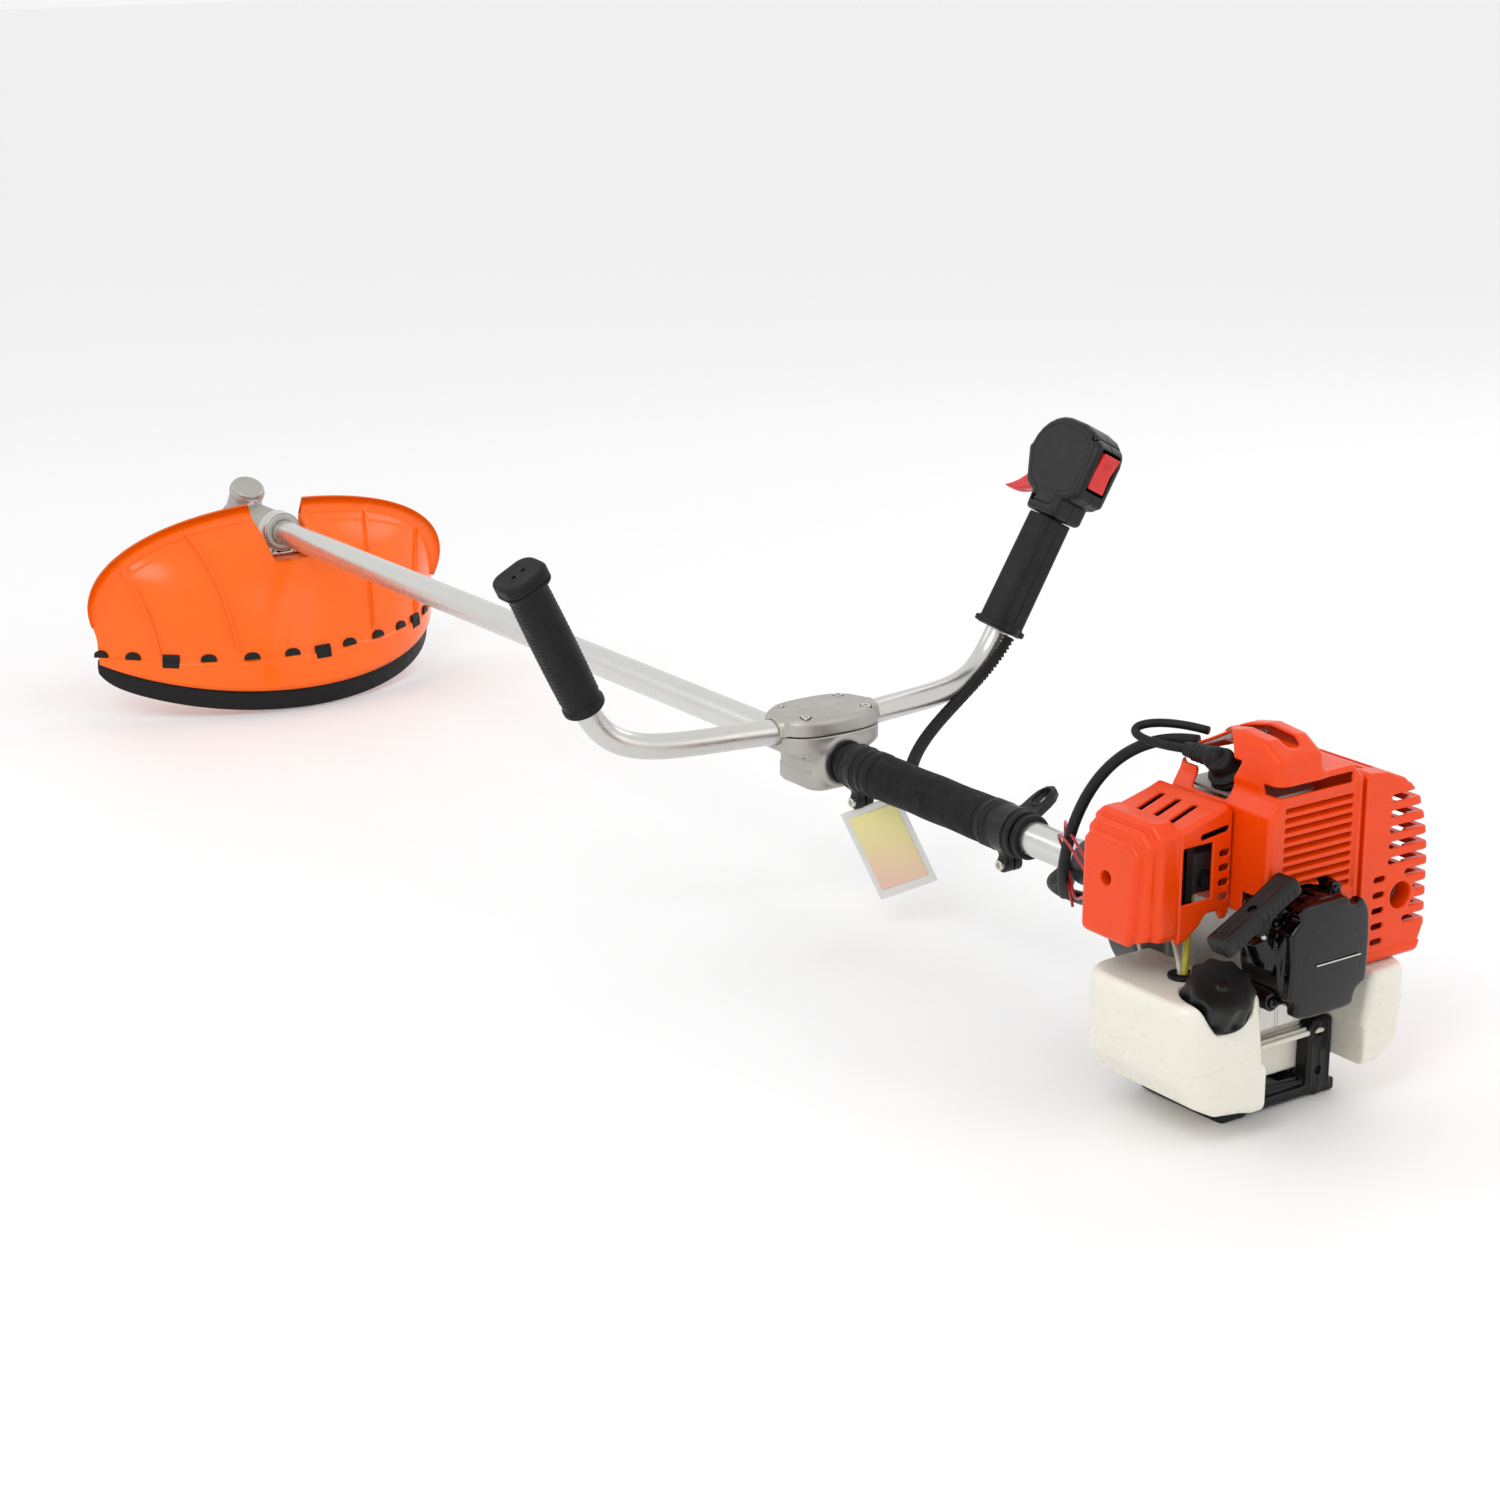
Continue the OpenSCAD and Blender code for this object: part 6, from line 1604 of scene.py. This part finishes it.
def build_guard():
    fine = [place + d for place in RIB_PLACES for d in np.arange(-0.009, 0.0091, 0.001)]
    edge = [sign * (VALLEY_T + d) for sign in (-1, 1) for d in np.arange(-0.004, 0.0161, 0.0012)]
    turns = np.unique(np.round(np.concatenate([np.linspace(-0.94, 0.94, 230), fine, edge]), 5))
    rows = np.unique(np.concatenate([np.linspace(0.04, 1, 44), np.arange(0.04, 0.16, 0.007),
                                     np.arange(0.83, 0.90, 0.005)]))
    t, s = np.meshgrid(turns, rows, indexing="ij")
    outer = bowl_point(t, s) + bowl_normal(t, s) * guard_relief(t, s)[..., None]
    inner_rows = np.linspace(1, 0, 40)
    t, s = np.meshgrid(turns, inner_rows, indexing="ij")
    inner = bowl_point(t, s)
    inner = inner + WALL_G * unit(BOWL_CENTRE - inner)
    top = lip_top(turns)
    lift = np.array([[WALL_G, 0, -1.5], [WALL_G - 0.5, 0, -0.3], [0.6, 0, -0.3], [0, 0, -1.5]])
    crown = top[:, None] + lift[None]
    loops = np.concatenate([crown[:, :2], outer, inner, crown[:, 2:]], 1)
    if loops.shape[1] % 2:
        loops = np.concatenate([loops, loops[:, -1:] + vec(0, 0, 0.2)], 1)
    vertices, faces = skin(loops[:, ::-1], "strip")
    bowl = make_mesh("guard_bowl", vertices, faces)
    finish_piece(bowl, "guard", "machine", "guard")


def tab_place(t, s):
    centre = bowl_point(np.array(t), np.array(s))
    normal = bowl_normal(np.array(t), np.array(s))
    across = bowl_point(np.array(t + 0.01), np.array(s)) - centre
    return Place.along(centre, across, normal)


def small_tab(p):
    half_oval = [(9 * math.cos(a), 7.2 * math.sin(a) ** 0.8) for a in np.linspace(0, math.pi, 15)]
    points = [(9.8, -1.2)] + half_oval + [(-9.8, -1.2)]
    return prism(p, 2, points, -3.5, 2.6, 0.9, 0.8)


def large_tab(p):
    plate = box(p, (-9.5, -7.5, -4), (9.5, 7.5, 3.4), 1.4)
    frame_line = cut(box(p, (-6.8, -4.8, 2.4), (6.8, 4.8, 5), 0.6),
                     box(p, (-5.6, -3.6, 1), (5.6, 3.6, 7), 0.6))
    return join(cut(plate, box(p, (-6.8, -4.8, 2.6), (6.8, 4.8, 6), 0.8), 0.6),
                meet(frame_line, p[:, 2] - 3.2), 0.5)


def build_guard_trim():
    nets = []
    for t in SMALL_TABS:
        nets.append(net_of(small_tab, (-11, -3, -4), (11, 9, 3), 0.8, tab_place(t, 0.862)))
    for t in LARGE_TABS:
        nets.append(net_of(large_tab, (-10, -8, -4.5), (10, 8, 4), 0.8, tab_place(t, 0.868)))
    finish_piece(gather("skirt_tabs", nets), "rubber", "machine")
    turns = np.linspace(-0.965, 0.965, 241)
    fade = 1 - np.abs(turns) ** 20
    down = vec(0, 0, -1)
    loops = []
    for t, f in zip(turns, fade):
        outer, inner = rim_point(t, RIM_R - 3.4), rim_point(t, RIM_R - 8)
        deep = 4 + 20 * f
        belly = outer + down * (deep * 0.5) + unit(outer - BOWL_CENTRE) * 0.8
        loops.append([inner + down * -3, outer + down * -1, belly, outer + down * (deep - 1),
                      outer + down * deep, inner + down * deep])
    vertices, faces = skin(np.array(loops), "strip")
    skirt = make_mesh("rubber_skirt", vertices, faces)
    finish_piece(skirt, "rubber", "machine", "guard_skirt")


BRACKET_X = SOCKET_END - 10
BRACKET_Z = VALLEY_Z + 3


def guard_bracket(p):
    z = TUBE_Z
    sleeve = tube_rod(p, BRACKET_X - 9, BRACKET_X + 9, 22.3, 1)
    plate = box(p, (BRACKET_X - 9.5, -24, BRACKET_Z - 2), (BRACKET_X + 9.5, 24, BRACKET_Z + 1), 1)
    q = mirror_y(p)
    cheek = box(q, (BRACKET_X - 9, 9, BRACKET_Z), (BRACKET_X + 9, 12, z - 10), 1)
    shape = join(join(sleeve, plate, 1), cheek, 2)
    shape = cut(shape, tube_rod(p, BRACKET_X - 20, BRACKET_X + 20, 21.1, 0.1), 0.3)
    return cut(shape, rod(q, (BRACKET_X, 18, BRACKET_Z - 9), (BRACKET_X, 18, BRACKET_Z + 9), 2.7, 0.1), 0.4)


def line_knife(p):
    """Small bent blade that trims the line."""
    at = rim_point(0.0, RIM_R - 12)
    q = p - at
    plate = box(q, (0, -10, -6), (2, 10, 22), 0.5)
    foot = prism(q, 1, [(2, -6), (-12, -10), (-12, -8), (0, -4)], -10, 10, 0.3, 0)
    shape = join(plate, foot, 1)
    return cut(shape, rod(q, (-9, 0, 14), (9, 0, 14), 2.2, 0.1), 0.3)


def build_guard_metal():
    mould("guard_saddle", guard_bracket, (-1553, -25, 101), (-1531, 25, 154), 0.8, "bright", "machine",
          "guard_bracket", slot="steel")
    at = rim_point(0.0, RIM_R - 12)
    mould("trim_blade", line_knife, at + vec(-13, -11, -11), at + vec(3, 11, 23), 0.5, "steel", "machine",
          "line_knife")


# ---- screws -------------------------------------------------------------------------------

def socket_screw(length, radius=2.5):
    """A cap screw with a hex socket. Its head is below Z = 0 and its shank above."""
    head = 1.75 * radius

    def shape(p):
        body = rod(p, (0, 0, -4), (0, 0, 0), head, 0.5)
        q = around(p, 24)
        body = cut(body, rod(q, (head + 0.45, 0, -5), (head + 0.45, 0, 1), 0.6, 0.1), 0.2)
        hexagon = [(radius * math.cos(a), radius * math.sin(a)) for a in np.radians(np.arange(0, 360, 60))]
        body = cut(body, prism(p, 2, hexagon, -6, -1.5, 0.1, 0), 0.3)
        return join(body, rod(p, (0, 0, -1), (0, 0, length), radius, 0.4), 0.3)

    return shape, (-head, -head, -4), (head, head, length)


def pan_screw(length, radius=2.0):
    """A domed screw with a cross recess. Its head is below Z = 0."""
    head = 2 * radius

    def shape(p):
        body = meet(rod(p, (0, 0, -2.6), (0, 0, 0), head, 0.5), ball(p, (0, 0, 3.4), 6.2 * radius / 2), 0.3)
        arms = join(box(p, (-0.45, -head * 0.62, -5), (0.45, head * 0.62, -1.3), 0.1),
                    box(p, (-head * 0.62, -0.45, -5), (head * 0.62, 0.45, -1.3), 0.1), 0.2)
        body = cut(body, arms, 0.25)
        return join(body, rod(p, (0, 0, -1), (0, 0, length), radius, 0.3), 0.3)

    return shape, (-head, -head, -3), (head, head, length)


def build_screws():
    z = TUBE_Z
    down, right, left = ("x", 180), ("x", -90), ("y", -90)
    places = [(socket_screw(30, 2.4), Place((CLAMP[0] + x, y, 168.4), down)) for x, y in CLAMP_SCREWS]
    places += [(socket_screw(15), Place((x, -8, z - 28.5), right)) for x in (-442, -245)]
    places += [(socket_screw(13), Place((LUG_X + x, TUBE_R + 10, z + 7), down)) for x in (-7, 7)]
    places += [(socket_screw(16), Place((BRACKET_X, y, BRACKET_Z + 1), down)) for y in (-18, 18)]
    places += [(socket_screw(11), Place((-128, -7, z - 26), right))]
    nets = [net_of(shape, lo, hi, 0.4, place) for (shape, lo, hi), place in places]
    finish_piece(gather("socket_cap_screws", nets), "bright", "machine", "machine_screws", slot="steel")
    places = [(pan_screw(24), Place((93, y, zz), left)) for y, zz in STARTER_SCREWS]
    places += [(pan_screw(9), Place((44, -14, 284), down)), (pan_screw(26), Place((6, -112, 187), right))]
    nets = [net_of(shape, lo, hi, 0.4, place) for (shape, lo, hi), place in places]
    for x, zz in SWITCH_SCREWS:
        shape, lo, hi = pan_screw(30, 1.4)
        points, quads = net_of(shape, lo, hi, 0.35, Place((x, -17, zz), right))
        nets.append((RIGHT.world(points), quads))
    finish_piece(gather("pan_head_screws", nets), "glossblack", "machine")


# ---- hang tag -----------------------------------------------------------------------------

def build_tag():
    """The blank card in its clear pouch, hung under the front band. It carries no print."""
    place = Place((-436, 2, 101), ("z", 42), ("y", -24), ("x", 6))
    mould("tag_pouch", lambda p: box(p, (-27, -0.9, -88), (27, 0.9, -2), 0.8), (-27, -1, -88), (27, 1, -2),
          0.8, "pouch", "machine", place=place, slot="tank")
    mould("tag_card", lambda p: box(p, (-22, -1.3, -80), (22, 1.3, -8), 0.5), (-22, -1.4, -80), (22, 1.4, -8),
          0.8, "card", "machine", place=place, slot="tank")


# ---- CAD pieces that stay -----------------------------------------------------------------

KEPT = {
    "ball_bearings": "steel", "input_pinion": "steel", "output_gear": "steel", "spindle": "bright",
    "drive_shaft": "steel", "shaft_bushes": "rubber", "clutch_drum": "steel", "clutch_shoes": "cast",
    "flywheel": "cast", "crankshaft": "steel", "connecting_rod": "steel", "piston": "piston",
    "cylinder": "cast", "spark_plug": "bright", "ignition_coil": "black", "carburettor": "darkcast",
    "throttle_lever": "steel", "air_cleaner_base": "black", "air_filter": "foam", "choke_lever": "black",
    "primer_bulb": "rubber", "muffler": "steel", "starter_pulley": "vent",
}


def dress_kept():
    for node, look in KEPT.items():
        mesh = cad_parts[node].data
        mesh.materials.clear()
        mesh.materials.append(looks[look])


# ---- studio -------------------------------------------------------------------------------

def build_floor():
    """A pale floor that dips towards the guard, so that the stand and the skirt both rest on it."""
    slope = math.radians(2.3)
    size = 40.0
    centre = vec(-0.8, 0, -0.002 - 0.77 * math.tan(slope))
    u, v = vec(math.cos(slope), 0, math.sin(slope)) * size, vec(0, size, 0)
    corners = [centre - u - v, centre + u - v, centre + u + v, centre - u + v]
    floor = make_mesh("studio_floor", np.array(corners) / MM, [(0, 1, 2, 3)], smooth=False)
    floor.data.materials.append(looks["floor"])


def area_light(name, place, target, size, power):
    data = bpy.data.lights.new(name, "AREA")
    data.shape = "DISK"
    data.size = size
    data.energy = power
    obj = bpy.data.objects.new(name, data)
    obj.location = place
    obj.rotation_euler = (Vector(target) - Vector(place)).to_track_quat("-Z", "Y").to_euler()
    bpy.context.scene.collection.objects.link(obj)


def build_lights():
    middle = (-0.7, 0, 0.15)
    area_light("key_light", (0.9, -2.2, 2.6), middle, 1.6, 25)
    area_light("fill_light", (2.2, 1.2, 1.6), middle, 1.8, 6)
    area_light("guard_light", (-2.6, -2.0, 1.8), (-1.5, 0, 0.1), 1.2, 5)
    area_light("rim_light", (-1.2, 2.6, 2.0), middle, 1.6, 9)
    world = bpy.data.worlds.new("studio_world")
    world.use_nodes = True
    world.node_tree.nodes["Background"].inputs["Color"].default_value = (1, 1, 1, 1)
    world.node_tree.nodes["Background"].inputs["Strength"].default_value = 0.93
    bpy.context.scene.world = world


def build_camera():
    data = bpy.data.cameras.new("photo_camera")
    data.lens = 72
    data.sensor_width = 36
    obj = bpy.data.objects.new("photo_camera", data)
    obj.location = (1.498, -1.475, 0.898)
    back = Vector((0.7827, -0.5481, 0.2949))
    obj.rotation_euler = (-back).to_track_quat("-Z", "Y").to_euler()
    bpy.context.scene.collection.objects.link(obj)
    bpy.context.scene.camera = obj
    bpy.context.scene.view_settings.view_transform = "Standard"


build_covers()
build_starter()
build_tank()
fuel_hoses()
build_engine()
wire_loops()
build_tube()
build_bands()
build_handlebar()
build_grips()
build_cables()
build_cutter()
build_guard()
build_guard_trim()
build_guard_metal()
build_screws()
build_tag()
dress_kept()
build_floor()
build_lights()
build_camera()
